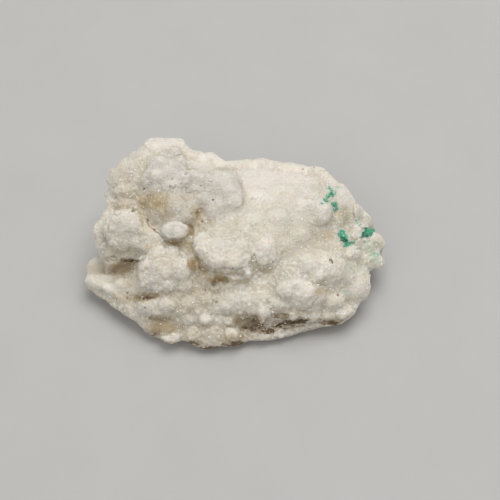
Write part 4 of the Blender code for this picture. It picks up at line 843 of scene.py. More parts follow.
class Front:
    """The points of an outside as the reference side shows them, for laying spots on."""

    def __init__(self, points, normals):
        u, v, _ = sight_place(points)
        self.u = u + 2.6 * waves(points + 11, 0.0021) + 1.4 * waves(points + 12, 0.0007)
        self.v = v + 2.0 * waves(points + 13, 0.0021) + 1.2 * waves(points + 14, 0.0007)
        self.sharp_u = u + 0.5 * waves(points + 15, 0.0005)
        self.sharp_v = v + 0.5 * waves(points + 16, 0.0005)
        self.facing = smoothstep(0.6 - 3 * (normals @ np.array(FORWARD)))

    def cover(self, rows):
        """How strongly each point is covered by soft-edged spots, 0 to 1."""
        bare = np.ones(len(self.u))
        for u, v, across, down, strength in rows:
            far = np.hypot((self.u - u) / across, (self.v - v) / down)
            bare *= 1 - strength * smoothstep(1.55 * (1 - far))
        return (1 - bare) * self.facing


def vertex_normals(mesh):
    normals = np.empty(len(mesh.vertices) * 3)
    mesh.vertices.foreach_get("normal", normals)
    return normals.reshape(-1, 3)


def neighbour_average(values, ends, share):
    total = np.zeros_like(values)
    np.add.at(total, ends[:, 0], values[ends[:, 1]])
    np.add.at(total, ends[:, 1], values[ends[:, 0]])
    return total / share


def edge_ends(mesh):
    ends = np.empty(len(mesh.edges) * 2, np.int32)
    mesh.edges.foreach_get("vertices", ends)
    ends = ends.reshape(-1, 2)
    share = np.bincount(ends.ravel(), minlength=len(mesh.vertices)).astype(float)[:, None]
    return ends, np.maximum(share, 1)


def hollowness(mesh, passes):
    """How far each point lies under the evened-out surface, in metres."""
    corners, _ = mesh_arrays(mesh)
    ends, share = edge_ends(mesh)
    even = corners.copy()
    for _ in range(passes):
        even = 0.5 * even + 0.5 * neighbour_average(even, ends, share)
    return ((even - corners) * vertex_normals(mesh)).sum(1)


def grain(points, size):
    """Rounded cells about size metres wide: high in the middle of each and low between them."""
    return np.array([0.45 - noise.voronoi(p, distance_metric="DISTANCE")[0][0] for p in (points / size).tolist()])


def waves(points, size):
    return np.array([noise.noise(p) for p in (points / size).tolist()])


def add_granules(heap, mesh, seed, count, spacing, sizes, stand):
    """Fine grains over a mesh, flatter where it is polished."""
    rng = np.random.default_rng(seed)
    corners, faces = mesh_arrays(mesh)
    a, b, c = (corners[faces[:, i]] for i in range(3))
    n = np.cross(b - a, c - a)
    area = np.linalg.norm(n, axis=1)
    n /= np.maximum(area, 1e-18)[:, None]
    pick = np.searchsorted(np.cumsum(area), rng.random(count) * area.sum())
    s, t = rng.random(count), rng.random(count)
    over = s + t > 1
    s[over], t[over] = 1 - s[over], 1 - t[over]
    at = a[pick] + (b[pick] - a[pick]) * s[:, None] + (c[pick] - a[pick]) * t[:, None]
    n = n[pick]
    front = Front(at, n)
    calm = 0.55 * (1 - knobbliness(at, n)) + 0.6 * front.cover(TONES["polished"])
    calm = calm + 0.8 * front.cover(TONES["ragged"])
    wanted = (rng.random(count) > calm * 0.9) & (at[:, 2] > 0.0004) & (n[:, 2] > -0.9)
    taken = {}
    for p, m, q in zip(at[wanted], n[wanted], calm[wanted]):
        cell = tuple((p // spacing).astype(int))
        near = [o for dx in (-1, 0, 1) for dy in (-1, 0, 1) for dz in (-1, 0, 1)
                for o in taken.get((cell[0] + dx, cell[1] + dy, cell[2] + dz), ())]
        if any(((p - o) ** 2).sum() < spacing**2 for o in near):
            continue
        taken.setdefault(cell, []).append(p)
        r = rng.uniform(*sizes)
        out = rng.uniform(*stand) * (1 - 0.6 * min(1.0, q))
        centre = p - m * r * (1 - out)
        u, v, unit = sight_place(centre)
        if inside_outline(u, v)[0] < r / unit[0] - 0.9:
            continue
        shape = Matrix.Diagonal((*(rng.uniform(0.85, 1.15, 3) * r), 1))
        heap.add_ball(Matrix.Translation(Vector(centre)) @ shape, 2)


def jitter(points):
    """A small uneven shift, which makes drawn lines jagged."""
    return np.stack([waves(points + k, 0.0011) for k in (21, 22, 23)], 1) * 0.0005


def sink(mesh, side):
    """Presses the furrows and pits in, and gives the skin its finest grain."""
    corners, _ = mesh_arrays(mesh)
    normals = vertex_normals(mesh)
    front = Front(corners, normals)
    move = np.zeros(len(corners))
    shaken = corners + jitter(corners)
    for half, deep, places in FURROWS:
        gap = side.run(shaken, places)
        move -= deep * 0.001 * smoothstep(1.2 - gap / (half * 0.001) * 0.8)
    for u, v, radius, deep in PITS:
        place, _ = side.hit(u, v)
        if place is not None:
            gap = np.linalg.norm(corners - np.array(place), axis=1)
            move -= deep * 0.001 * smoothstep(1.2 - gap / (radius * 0.001))
    calm = np.clip(0.5 * (1 - knobbliness(corners, normals)) + 0.6 * front.cover(TONES["polished"]), 0, 0.85)
    move += (grain(corners, 0.0011) * 0.0002 + waves(corners, 0.0024) * 0.00009 + waves(corners + 7, 0.0009) * 0.0001) * (1 - calm)
    move += waves(corners + 3, 0.0055) * 0.0002 * (1 - 0.7 * calm)
    ragged = front.cover(TONES["ragged"])
    move += (-abs(waves(corners + 5, 0.0022)) * 0.0009 + waves(corners + 9, 0.0008) * 0.00025 + 0.0002) * ragged
    move *= np.clip(corners[:, 2] / 0.0008, 0, 1)
    corners += normals * move[:, None]
    corners[:, 2] = np.maximum(corners[:, 2], 0)
    mesh.vertices.foreach_set("co", corners.ravel())
    mesh.update()


def thin(mesh, faces):
    """Thins a mesh to a number of triangles, fewest where it is flat."""
    triangles = sum(len(p.vertices) - 2 for p in mesh.polygons)
    obj = bpy.data.objects.new("thin", mesh)
    bpy.context.scene.collection.objects.link(obj)
    less = obj.modifiers.new("thin", "DECIMATE")
    less.ratio = min(1.0, faces / triangles)
    less.use_collapse_triangulate = True
    mesh = evaluated(obj)
    bpy.data.objects.remove(obj)
    return mesh


def skin_mesh():
    lobed = fuse(lobes_mesh(), VOXEL, 5)
    heap = Heap()
    heap.add(*mesh_arrays(lobed))
    for row in LOBES:
        heap.add_ball(lobe_matrix(*row), 4)
    add_knobs(heap, lobed, 11, 4000, 0.0028, (0.0012, 0.0023), (0.06, 0.22))
    knobbed = fuse(heap.mesh("knobs"), KNOB_VOXEL, 2)
    heap = Heap()
    heap.add(*mesh_arrays(knobbed))
    add_granules(heap, knobbed, 23, 40000, 0.00095, (0.00042, 0.00095), (0.2, 0.5))
    mesh = fuse(heap.mesh("granules"), SKIN_VOXEL, 2)
    trim_base(mesh, BASE_TRIM)
    sink(mesh, Side(mesh))
    carve(mesh)
    fit_outline(mesh)
    return thin(mesh, SKIN_FACES)


def fit_outline(mesh):
    """Draws the rim of the reference side to its outline."""
    corners, _ = mesh_arrays(mesh)
    loop = np.array(OUTLINE, float)
    step = np.roll(loop, -1, 0) - loop
    for turn in range(3):
        u, v, unit = sight_place(corners)
        inside = inside_outline(u, v)
        across = abs(vertex_normals(mesh) @ np.array(FORWARD))
        rim = smoothstep(1.6 - across * 4) * smoothstep(2.6 - 0.9 * inside) * (inside > 0)
        pick = np.nonzero((inside < -0.1) | (rim > 0.02))[0]
        at = np.stack([u[pick], v[pick]], 1)[:, None]
        share = np.clip(((at - loop) * step).sum(2) / (step * step).sum(1), 0, 1)
        near = loop + share[..., None] * step
        best = ((at - near) ** 2).sum(2).argmin(1)
        way = near[np.arange(len(pick)), best] - at[:, 0]
        much = np.where(inside[pick] < 0, 0.8, 0.5 * rim[pick])
        pull = way * (much * unit[pick])[:, None]
        move = pull[:, :1] * np.array(RIGHT) - pull[:, 1:] * np.array(UP)
        move *= np.clip(corners[pick, 2] / 0.0012, 0, 1)[:, None]
        corners[pick] += move
        corners[:, 2] = np.maximum(corners[:, 2], 0)
        mesh.vertices.foreach_set("co", corners.ravel())
        mesh.update()


def ledge_gap(u, v, line):
    """How far each (u, v) is past a line on its right side, and how near it is to its ends."""
    line = np.array(line, float)
    step = line[1:] - line[:-1]
    rel = np.stack([u, v], 1)[:, None] - line[:-1]
    along = (rel * step).sum(2) / (step * step).sum(1)
    off = rel - np.clip(along, 0, 1)[..., None] * step
    far = np.sqrt((off**2).sum(2))
    best = far.argmin(1)
    row = np.arange(len(u))
    side = step[best, 0] * rel[row, best, 1] - step[best, 1] * rel[row, best, 0]
    length = np.sqrt((step * step).sum(1))
    before = np.concatenate([[0], np.cumsum(length)])
    run = before[best] + along[row, best] * length[best]
    from_end = np.minimum(run, before[-1] - run)
    return far[row, best] * np.sign(side), smoothstep(from_end / 5 + 0.1)


def carve(mesh):
    """Raises the plateaus and ledges towards the reference side, with crisp edges."""
    corners, _ = mesh_arrays(mesh)
    lift, _, _ = lifts(corners, vertex_normals(mesh))
    corners -= np.array(FORWARD) * (lift * np.clip(corners[:, 2] / 0.002, 0, 1))[:, None]
    mesh.vertices.foreach_set("co", corners.ravel())
    mesh.update()


def lifts(corners, normals):
    """How far each point is raised, how glassy it is, and how deep in the crease along an edge, which is painted as
    shade.
    """
    u, v, _ = sight_place(corners)
    even = u, v
    u = u + 1.5 * waves(corners, 0.0017) + 0.8 * waves(corners + 1, 0.0007)
    v = v + 1.5 * waves(corners + 2, 0.0017) + 0.8 * waves(corners + 4, 0.0007)
    uneven = np.clip(0.75 + 0.9 * waves(corners + 6, 0.0035), 0.25, 1.3)
    facing = smoothstep(-(normals @ np.array(FORWARD)) / 0.4)
    lift, glass, crease = np.zeros(len(corners)), np.zeros(len(corners)), np.zeros(len(corners))
    for height, soft, glassy, ring in PLATEAUS:
        ring = np.array(ring, float)
        near = np.nonzero((facing > 0) & (u > ring[:, 0].min() - 4) & (u < ring[:, 0].max() + 4) & (v > ring[:, 1].min() - 4) & (v < ring[:, 1].max() + 4))[0]
        at = (0.7 * even[0] + 0.3 * u, 0.7 * even[1] + 0.3 * v) if glassy else (u, v)
        deep = inside_outline(at[0][near], at[1][near], ring)
        lift[near] += height * facing[near] * smoothstep(deep / soft + 0.5)
        if glassy:
            glass[near] = np.maximum(glass[near], facing[near] * smoothstep(deep / 1.2 + 0.5))
        if height > 0:
            crease[near] = np.maximum(crease[near], min(1, 1.2 * height) * (soft < 3) * facing[near] * np.exp(-(((deep + 0.7) / 0.9) ** 2)))
        else:
            crease[near] = np.maximum(crease[near], facing[near] * smoothstep(deep / soft + 0.3))
    for height, carry, line in LEDGES:
        at = np.array(line, float)
        reach = 2.5 * carry
        near = np.nonzero((facing > 0) & (u > at[:, 0].min() - reach) & (u < at[:, 0].max() + reach) & (v > at[:, 1].min() - reach) & (v < at[:, 1].max() + reach))[0]
        past, share = ledge_gap(u[near], v[near], line)
        share = share * facing[near]
        lift[near] += height * share * np.exp(-np.maximum(past, 0) / carry) * smoothstep(past / 1.2 + 0.5)
        lift[near] -= 0.25 * height * share * np.exp(-(((past + 1.3) / 1.1) ** 2))
        crease[near] = np.maximum(crease[near], min(1, 1.2 * height) * share * np.exp(-(((past + 0.8) / 0.9) ** 2)))
    deep = inside_outline(u, v, GLASS_EDGE)
    soft = 1.2 + 8 * smoothstep((v - 178) / 12) * smoothstep((206 - u) / 8) + 4 * smoothstep((v - 204) / 8) * (u > 200)
    glass = np.maximum(glass, facing * smoothstep(deep / soft + 0.5))
    lower = 1 - 0.8 * smoothstep((v - 202) / 8) * (abs(u - 222) < 24) * (v < 226)
    u0, v0, across, down = 175.2, 230.6, 14, 8.8
    far = np.hypot((0.5 * even[0] + 0.5 * u - u0) / across, (0.5 * even[1] + 0.5 * v - v0) / down)
    rim = 0.25 * np.exp(-(((far - 0.8) / 0.17) ** 2)) - 0.1 * np.exp(-((far / 0.5) ** 2))
    lift += facing * rim * (1 + 1.2 * waves(corners + 8, 0.0014))
    return lift * lower * uneven * 0.001, glass, crease * lower * np.clip(uneven, 0, 1)


def write_colour(mesh, name, channels):
    layer = mesh.color_attributes.new(name, "FLOAT_COLOR", "POINT")
    rgba = np.ones((len(mesh.vertices), 4), np.float32)
    for i, channel in enumerate(channels):
        rgba[:, i] = channel
    layer.data.foreach_set("color", rgba.ravel())


def paint(mesh, side):
    """Writes the tones of the skin to its corners, among them painted shade in hollows, creases, low down and under
    overhangs.
    """
    corners, _ = mesh_arrays(mesh)
    normals = vertex_normals(mesh)
    front = Front(corners, normals)
    tone_and_shade = {name: front.cover(rows) for name, rows in TONES.items()}
    _, glass, crease = lifts(corners, normals)
    glass *= 1 - 0.2 * smoothstep((front.sharp_u - 200) / 20)
    furrow = np.zeros(len(corners))
    shaken = corners + jitter(corners)
    for half, deep, places in FURROWS:
        gap = side.run(shaken, places)
        furrow = np.maximum(furrow, min(1.0, deep * 1.1) * smoothstep(1.25 - gap / (half * 0.001)))
    # Painted shade with a yellow-brown stain: hollows and the creases along plateaus and ledges are darkened.
    fine, broad = hollowness(mesh, 8), hollowness(mesh, 90)
    hollow = np.clip(fine / 0.00012, -1, 1) * 0.45 + np.clip(broad / 0.0009, -1, 1) * 0.6
    hollow = np.clip(hollow + 0.6 * crease, -1, 1)
    # Painted shade: darker towards the bottom.
    low = 1 - smoothstep(corners[:, 2] / 0.012)
    # Painted shade: surfaces near the base that face down, added to the brown below.
    under = (1 - smoothstep(corners[:, 2] / 0.008 - 0.25)) * smoothstep(0.75 - normals[:, 2])
    mark = front.facing * 0
    for u, v, across, down in MARKS:
        far = np.hypot((front.sharp_u - u) / across, (front.sharp_v - v) / down)
        mark = np.maximum(mark, smoothstep(1.8 * (1 - far)) * front.facing)
    mark = np.clip(mark + 0.8 * smoothstep(1.6 * furrow - 0.6), 0, 1)
    write_colour(mesh, "mark", (mark, mark, mark))
    brown_and_shadow = np.clip(tone_and_shade["brown_and_shadow"] + 0.5 * furrow, 0, 1)
    # Painted shadow under overhangs near the base joins the brown stain.
    brown_and_shadow = 1 - (1 - brown_and_shadow) * (1 - 0.5 * under)
    write_colour(mesh, "stain_and_shade", (brown_and_shadow, tone_and_shade["tan_and_shade"], tone_and_shade["green"], tone_and_shade["ochre"]))
    write_colour(mesh, "tone_and_shade", (np.maximum(glass, 0.6 * tone_and_shade["glassy"]), tone_and_shade["bleached_and_lit"], 0.5 + 0.5 * hollow, low))


# ---- Materials ------------------------------------------------------------------------------


class Nodes:
    """Short forms for making the nodes of one material."""

    def __init__(self, name):
        self.material = bpy.data.materials.new(name)
        self.material.use_nodes = True
        self.tree = self.material.node_tree
        self.shader = self.tree.nodes["Principled BSDF"]

    def node(self, kind, **settings):
        made = self.tree.nodes.new(kind)
        for key, value in settings.items():
            setattr(made, key, value)
        return made

    def link(self, output, to):
        self.tree.links.new(output, to)

    def feed(self, to, value):
        if isinstance(value, bpy.types.NodeSocket):
            self.link(value, to)
        else:
            to.default_value = value

    def math(self, operation, a, b=0.0, clamp=False):
        made = self.node("ShaderNodeMath", operation=operation, use_clamp=clamp)
        self.feed(made.inputs[0], a)
        self.feed(made.inputs[1], b)
        return made.outputs[0]

    def mix(self, share, a, b, blend="MIX"):
        made = self.node("ShaderNodeMix", data_type="RGBA", blend_type=blend)
        self.feed(made.inputs["Factor"], share)
        for socket, value in ((made.inputs[6], a), (made.inputs[7], b)):
            self.feed(socket, (*value, 1) if isinstance(value, tuple) and len(value) == 3 else value)
        return made.outputs[2]

    def span(self, value, low, high, out_low=0.0, out_high=1.0):
        made = self.node("ShaderNodeMapRange")
        self.feed(made.inputs["Value"], value)
        for key, number in (("From Min", low), ("From Max", high), ("To Min", out_low), ("To Max", out_high)):
            made.inputs[key].default_value = number
        return made.outputs["Result"]

    def place(self):
        return self.node("ShaderNodeTexCoord").outputs["Object"]

    def shifted(self, place):
        made = self.node("ShaderNodeMapping")
        self.link(place, made.inputs["Vector"])
        made.inputs["Location"].default_value = (0.37, 0.21, 0.45)
        return made.outputs["Vector"]

    def stretched(self, place, scale):
        made = self.node("ShaderNodeMapping")
        self.link(place, made.inputs["Vector"])
        made.inputs["Scale"].default_value = scale
        return made.outputs["Vector"]

    def noise(self, place, scale, detail=2.0, rough=0.5):
        made = self.node("ShaderNodeTexNoise")
        self.link(place, made.inputs["Vector"])
        made.inputs["Scale"].default_value = scale
        made.inputs["Detail"].default_value = detail
        made.inputs["Roughness"].default_value = rough
        return made.outputs["Fac"]

    def cells(self, place, scale, feature="SMOOTH_F1"):
        made = self.node("ShaderNodeTexVoronoi", feature=feature)
        self.link(place, made.inputs["Vector"])
        made.inputs["Scale"].default_value = scale
        if feature == "SMOOTH_F1":
            made.inputs["Smoothness"].default_value = 0.35
        return made.outputs["Distance"]

    def channels(self, name):
        made = self.node("ShaderNodeAttribute", attribute_name=name)
        split = self.node("ShaderNodeSeparateColor")
        self.link(made.outputs["Color"], split.inputs[0])
        return split.outputs[0], split.outputs[1], split.outputs[2], made.outputs["Alpha"]

    def bump(self, height, strength, distance, normal=None):
        made = self.node("ShaderNodeBump")
        self.feed(made.inputs["Strength"], strength)
        made.inputs["Distance"].default_value = distance
        self.link(height, made.inputs["Height"])
        if normal is not None:
            self.link(normal, made.inputs["Normal"])
        return made.outputs["Normal"]

    def set(self, **values):
        for key, value in values.items():
            self.feed(self.shader.inputs[key.replace("_", " ")], value)
        return self.material


def aragonite_material():
    n = Nodes("aragonite")
    place = n.place()
    brown_and_shadow, tan_and_shade, green, ochre = n.channels("stain_and_shade")
    glassy, bleached_and_lit, hollow, low = n.channels("tone_and_shade")
    marks, _, _, _ = n.channels("mark")
    broad = n.noise(place, 90, 3, 0.55)
    medium = n.noise(place, 420, 3, 0.6)
    fine = n.noise(place, 1900, 2, 0.6)
    sugar = n.cells(place, 1500)

    colour = n.mix(n.span(broad, 0.35, 0.65), (0.745, 0.700, 0.595), (0.815, 0.775, 0.690))
    colour = n.mix(n.span(medium, 0.3, 0.75, 0.0, 0.26), colour, (0.88, 0.855, 0.80))
    colour = n.mix(n.span(fine, 0.33, 0.67, 0.0, 0.46), colour, (0.66, 0.62, 0.54))
    # Pale bleached tint, which also paints the light on the lit back slope and lumps.
    colour = n.mix(n.math("MULTIPLY", bleached_and_lit, n.span(medium, 0.2, 0.6, 0.75, 1.0)), colour, (0.925, 0.86, 0.795))
    colour = n.mix(n.span(n.cells(place, 820, "F1"), 0.06, 0.22, 0.42, 0.0), colour, (0.52, 0.47, 0.385))
    colour = n.mix(n.span(n.cells(n.shifted(place), 700, "F1"), 0.08, 0.24, 0.75, 0.0), colour, (0.98, 0.955, 0.91))
    colour = n.mix(n.math("MULTIPLY", glassy, 0.9), colour, (0.67, 0.64, 0.585))
    # Painted shade with a yellow-brown stain in hollows and creases.
    deep = n.span(hollow, 0.55, 1.0, 0.0, 0.5)
    colour = n.mix(deep, colour, (0.50, 0.42, 0.28))
    # Painted shade: darker towards the bottom.
    colour = n.mix(n.math("MULTIPLY", low, 0.35), colour, (0.50, 0.445, 0.35))
    # Painted highlight: raised parts whitened.
    raised = n.span(hollow, 0.5, 0.1, 0.0, 0.42)
    colour = n.mix(raised, colour, (0.90, 0.875, 0.82))
    patchy = n.span(medium, 0.25, 0.7, 0.55, 1.15)
    # Tan tint, which also paints shade in recesses.
    colour = n.mix(n.math("MULTIPLY", n.math("MULTIPLY", tan_and_shade, patchy), 0.95, True), colour, (0.50, 0.395, 0.225))
    colour = n.mix(n.math("MULTIPLY", n.math("MULTIPLY", ochre, patchy), 0.95, True), colour, (0.43, 0.275, 0.08))
    # Brown stains, carrying painted shadow along the foot and under overhangs.
    streaks = n.noise(n.stretched(place, (520, 900, 1200)), 1.0, 3, 0.65)
    browned = n.math("MULTIPLY", n.math("MULTIPLY", brown_and_shadow, patchy), n.span(streaks, 0.38, 0.6, 0.4, 1.5), True)
    browned = n.math("MAXIMUM", browned, marks)
    colour = n.mix(browned, colour, (0.30, 0.205, 0.10))
    # Near-black where the brown is strongest: painted shadow along the foot.
    colour = n.mix(n.span(browned, 0.55, 1.0, 0.0, 0.8), colour, (0.10, 0.065, 0.032))
    colour = n.mix(n.math("MULTIPLY", n.math("MULTIPLY", green, patchy), 0.9, True), colour, (0.40, 0.66, 0.50))

    rough = n.span(n.math("ADD", n.math("MULTIPLY", fine, 0.5), n.math("MULTIPLY", sugar, 0.5)), 0.15, 0.6, 0.42, 0.68)
    rough = n.math("SUBTRACT", rough, n.math("MULTIPLY", glassy, 0.14), True)
    height = n.math("ADD", n.math("MULTIPLY", sugar, -1.0), n.math("MULTIPLY", fine, 0.7))
    normal = n.bump(height, 0.7, 0.0003)
    n.shader.inputs["Coat Weight"].default_value = 0.35
    n.shader.inputs["Coat Roughness"].default_value = 0.18
    n.link(normal, n.shader.inputs["Coat Normal"])
    n.shader.inputs["Subsurface Weight"].default_value = 0.95
    n.shader.inputs["Subsurface Radius"].default_value = (1.0, 0.88, 0.72)
    n.shader.inputs["Subsurface Scale"].default_value = 0.0016
    n.shader.inputs["IOR"].default_value = 1.55
    return n.set(Base_Color=colour, Roughness=rough, Normal=normal)


def crystal_material():
    n = Nodes("crystal_skin")
    place = n.place()
    tint = n.noise(place, 700, 2, 0.5)
    colour = n.mix(n.span(tint, 0.3, 0.7), (0.88, 0.855, 0.79), (0.95, 0.93, 0.88))
    n.shader.inputs["IOR"].default_value = 1.6
    n.shader.inputs["Coat Weight"].default_value = 0.4
    n.shader.inputs["Coat Roughness"].default_value = 0.06
    return n.set(Base_Color=colour, Roughness=n.span(tint, 0.3, 0.7, 0.08, 0.25))


def green_material():
    n = Nodes("green_mineral_skin")
    place = n.place()
    tint = n.noise(place, 1300, 3, 0.6)
    broad = n.noise(place, 500, 2, 0.5)
    pale, _, _, _ = n.channels("shade")
    pale = n.math("ADD", pale, n.span(tint, 0.3, 0.7, -0.2, 0.2), True)
    colour = n.mix(pale, (0.006, 0.15, 0.075), (0.17, 0.68, 0.46))
    colour = n.mix(n.span(broad, 0.45, 0.7, 0.0, 0.4), colour, (0.25, 0.68, 0.50))
    n.shader.inputs["Subsurface Weight"].default_value = 0.15
    n.shader.inputs["Subsurface Scale"].default_value = 0.0004
    return n.set(Base_Color=colour, Roughness=n.span(tint, 0.3, 0.7, 0.3, 0.55), Normal=n.bump(tint, 0.4, 0.0001))


def floor_material():
    n = Nodes("floor")
    place = n.place()
    soft = n.noise(place, 35, 4, 0.6)
    colour = n.mix(n.span(soft, 0.3, 0.7), (0.545, 0.545, 0.545), (0.565, 0.565, 0.565))
    return n.set(Base_Color=colour, Roughness=0.75, Normal=n.bump(n.noise(place, 900, 2, 0.6), 0.1, 0.0002))


# ---- Small crystals -------------------------------------------------------------------------
KEY_LIGHT = (0.13, 0.2, 0.85)


def double_pyramid(sides):
    """A closed crystal about the Z axis: two pyramids base to base, one unit long and wide."""
    corners = [(0, 0, 1), (0, 0, -1)]
    corners += [(math.cos(k * math.tau / sides), math.sin(k * math.tau / sides), 0) for k in range(sides)]
    faces = []
    for k in range(sides):
        a, b = 2 + k, 2 + (k + 1) % sides
        faces += [(0, a, b), (1, b, a)]
    return np.array(corners, float), np.array(faces)


def plate(sides):
    """A closed flat-ended crystal about the Z axis, one unit long and wide."""
    corners = [(0, 0, 1), (0, 0, -1)]
    for z in (1, -1):
        corners += [(math.cos(k * math.tau / sides), math.sin(k * math.tau / sides), z) for k in range(sides)]
    faces = []
    for k in range(sides):
        a, b = 2 + k, 2 + (k + 1) % sides
        faces += [(0, a, b), (1, b + sides, a + sides), (a, a + sides, b + sides), (a, b + sides, b)]
    return np.array(corners, float), np.array(faces)


def spindle(sides, shoulder):
    """A closed crystal about the Z axis: a prism with a pyramid on each end, one unit long and wide."""
    corners = [(0, 0, 1), (0, 0, -1)]
    for z in (shoulder, -shoulder):
        for k in range(sides):
            angle = 2 * math.pi * k / sides
            corners.append((math.cos(angle), math.sin(angle), z))
    faces = []
    for k in range(sides):
        a, b = 2 + k, 2 + (k + 1) % sides
        faces += [(0, a, b), (1, b + sides, a + sides), (a, a + sides, b + sides), (a, b + sides, b)]
    return np.array(corners, float), np.array(faces)


def place_spindles(heap, shape, at, along, rng, width, length, tilt, sunk):
    """Sets a crystal at each place, pointing about along the given way."""
    corners, faces = shape
    for p, m in zip(at, along):
        lean = Vector(m) + Vector(rng.normal(0, tilt, 3))
        if lean.length < 1e-6:
            continue
        turn = lean.to_track_quat("Z", "Y").to_matrix() @ Matrix.Rotation(rng.uniform(0, math.tau), 3, "Z")
        w, l = rng.uniform(*width), rng.uniform(*length)
        scaled = corners * (w * rng.uniform(0.75, 1.25), w, l)
        centre = Vector(p) + lean.normalized() * l * (1 - 2 * sunk)
        heap.add(scaled @ np.array(turn).T + np.array(centre), faces)


def spread(mesh, rng, count, wanted):
    """Places and normals scattered evenly over a mesh, kept by the chance that wanted gives each."""
    corners, faces = mesh_arrays(mesh)
    a, b, c = (corners[faces[:, i]] for i in range(3))
    n = np.cross(b - a, c - a)
    area = np.linalg.norm(n, axis=1)
    pick = np.searchsorted(np.cumsum(area), rng.random(count) * area.sum())
    s, t = rng.random(count), rng.random(count)
    over = s + t > 1
    s[over], t[over] = 1 - s[over], 1 - t[over]
    at = a[pick] + (b[pick] - a[pick]) * s[:, None] + (c[pick] - a[pick]) * t[:, None]
    n = n[pick] / np.maximum(area[pick], 1e-18)[:, None]
    keep = rng.random(count) < wanted(at, n)
    return at[keep], n[keep]


def druse_mesh(skin, side):
    """Glinting crystal tips over the glassy lobes, with a few everywhere else."""
    rng = np.random.default_rng(41)

    def wanted(at, n):
        front = Front(at, n)
        glassy = front.cover(TONES["glassy"])
        dull = np.clip(front.cover(TONES["polished"]) + front.cover(TONES["brown_and_shadow"]), 0, 1)
        u, v, _ = sight_place(at)
        clear = (at[:, 2] > 0.0008) & (n[:, 2] > -0.6) & (inside_outline(u, v) > 1.0)
        return (0.07 + 0.14 * glassy) * (1 - 0.8 * dull) * clear

    at, n = spread(skin, rng, 42000, wanted)
    heap = Heap()
    place_spindles(heap, double_pyramid(5), at, n, rng, (0.00018, 0.0004), (0.00014, 0.00034), 0.6, 0.6)
    for u, v in GLINTS:
        for _ in range(2):
            place, normal = side.hit(u + rng.uniform(-1.6, 1.6), v + rng.uniform(-1.6, 1.6))
            if place is None:
                continue
            gleam = ((EYE - place).normalized() + (Vector(KEY_LIGHT) - place).normalized()).normalized()
            place_spindles(heap, plate(6), [place + normal * 0.00003], [gleam], rng, (0.00009, 0.00019), (0.00008, 0.00014), 0.12, 0.5)
    return heap.mesh("crystal_skin")


# Green tufts: node, then clusters: u, v, reach across, reach down, count, length in mm, paleness.
GREEN_TUFTS = (
    ("green_crust_upper", (
        (325, 199.5, 2.0, 1.6, 22, 0.26, 0.6), (328, 196, 2.4, 2.0, 26, 0.28, 0.75), (331.5, 194.5, 2.2, 2.2, 34, 0.32, 0.6),
        (331, 193.5, 0.8, 0.8, 12, 0.34, 0.1), (332.5, 196, 0.7, 0.7, 8, 0.3, 0.15), (326, 201.5, 0.8, 0.6, 8, 0.3, 0.2),
        (329, 187.5, 1.6, 1.3, 14, 0.25, 0.85), (332, 190, 2.0, 2.0, 16, 0.25, 0.8), (321.8, 203.5, 1.6, 1.1, 10, 0.22, 0.7),
        (335, 192, 1.4, 2.8, 12, 0.22, 0.85), (337, 188, 1.4, 1.4, 8, 0.2, 0.85), (327, 201, 2.4, 1.2, 12, 0.22, 0.7),
        (324, 200, 0.6, 0.6, 5, 0.28, 0.2), (328, 197.5, 0.6, 0.5, 6, 0.28, 0.15), (330, 189, 0.5, 0.6, 5, 0.26, 0.3),
    )),
    ("green_crust_inner", (
        (333, 203.5, 1.8, 1.4, 22, 0.32, 0.7), (336, 204.5, 2.0, 2.4, 34, 0.38, 0.8), (334.5, 209.5, 1.4, 1.8, 18, 0.34, 0.6),
        (336.5, 208, 1.6, 2.0, 18, 0.32, 0.75), (334.5, 206, 0.8, 1.3, 14, 0.36, 0.15), (333, 204.5, 0.7, 0.6, 7, 0.3, 0.2),
    )),
    ("green_crust_middle", (
        (343, 232.5, 3.0, 2.2, 60, 0.5, 0.85), (340.5, 235.5, 2.0, 2.2, 36, 0.42, 0.7), (346, 237, 1.8, 2.2, 34, 0.42, 0.8),
        (343, 238.5, 2.6, 1.5, 44, 0.5, 0.25), (344, 240.5, 3.0, 1.3, 56, 0.5, 0.05), (341.5, 238, 1.2, 1.2, 16, 0.45, 0.1),
        (347.5, 244, 3.0, 2.4, 50, 0.42, 0.6), (345, 246, 1.8, 1.2, 18, 0.35, 0.75), (339, 234, 1.3, 1.5, 14, 0.32, 0.6),
        (352, 242.5, 2.4, 1.0, 16, 0.28, 0.55), (341, 231, 1.8, 1.3, 16, 0.32, 0.8), (347, 240.5, 1.0, 1.0, 14, 0.4, 0.1),
    )),
    ("green_crust_end", (
        (364, 234.5, 2.2, 2.0, 44, 0.48, 0.3), (368, 231.5, 2.8, 2.0, 64, 0.52, 0.8), (372, 230.5, 2.6, 1.8, 48, 0.46, 0.85),
        (366, 228.5, 1.5, 1.1, 18, 0.34, 0.35), (375, 230, 1.8, 1.3, 18, 0.32, 0.7), (370, 235, 2.6, 1.5, 30, 0.38, 0.5),
        (362.5, 237, 1.4, 1.1, 12, 0.28, 0.5), (363.5, 233.5, 1.2, 1.3, 22, 0.45, 0.05), (366.5, 232.5, 2.6, 2.4, 50, 0.45, 0.45), (370.5, 232.5, 2.4, 1.8, 36, 0.42, 0.6), (366.5, 236, 1.6, 0.9, 20, 0.4, 0.08),
        (369, 233.5, 1.3, 0.6, 12, 0.4, 0.15), (357, 222, 1.6, 1.6, 7, 0.2, 0.85), (360, 225, 1.4, 1.4, 7, 0.2, 0.8),
        (364, 242, 2, 1.4, 7, 0.2, 0.9), (375.5, 254, 2.4, 1.8, 14, 0.22, 0.9), (357, 248, 2.4, 2.2, 6, 0.18, 0.9),
    )),
)


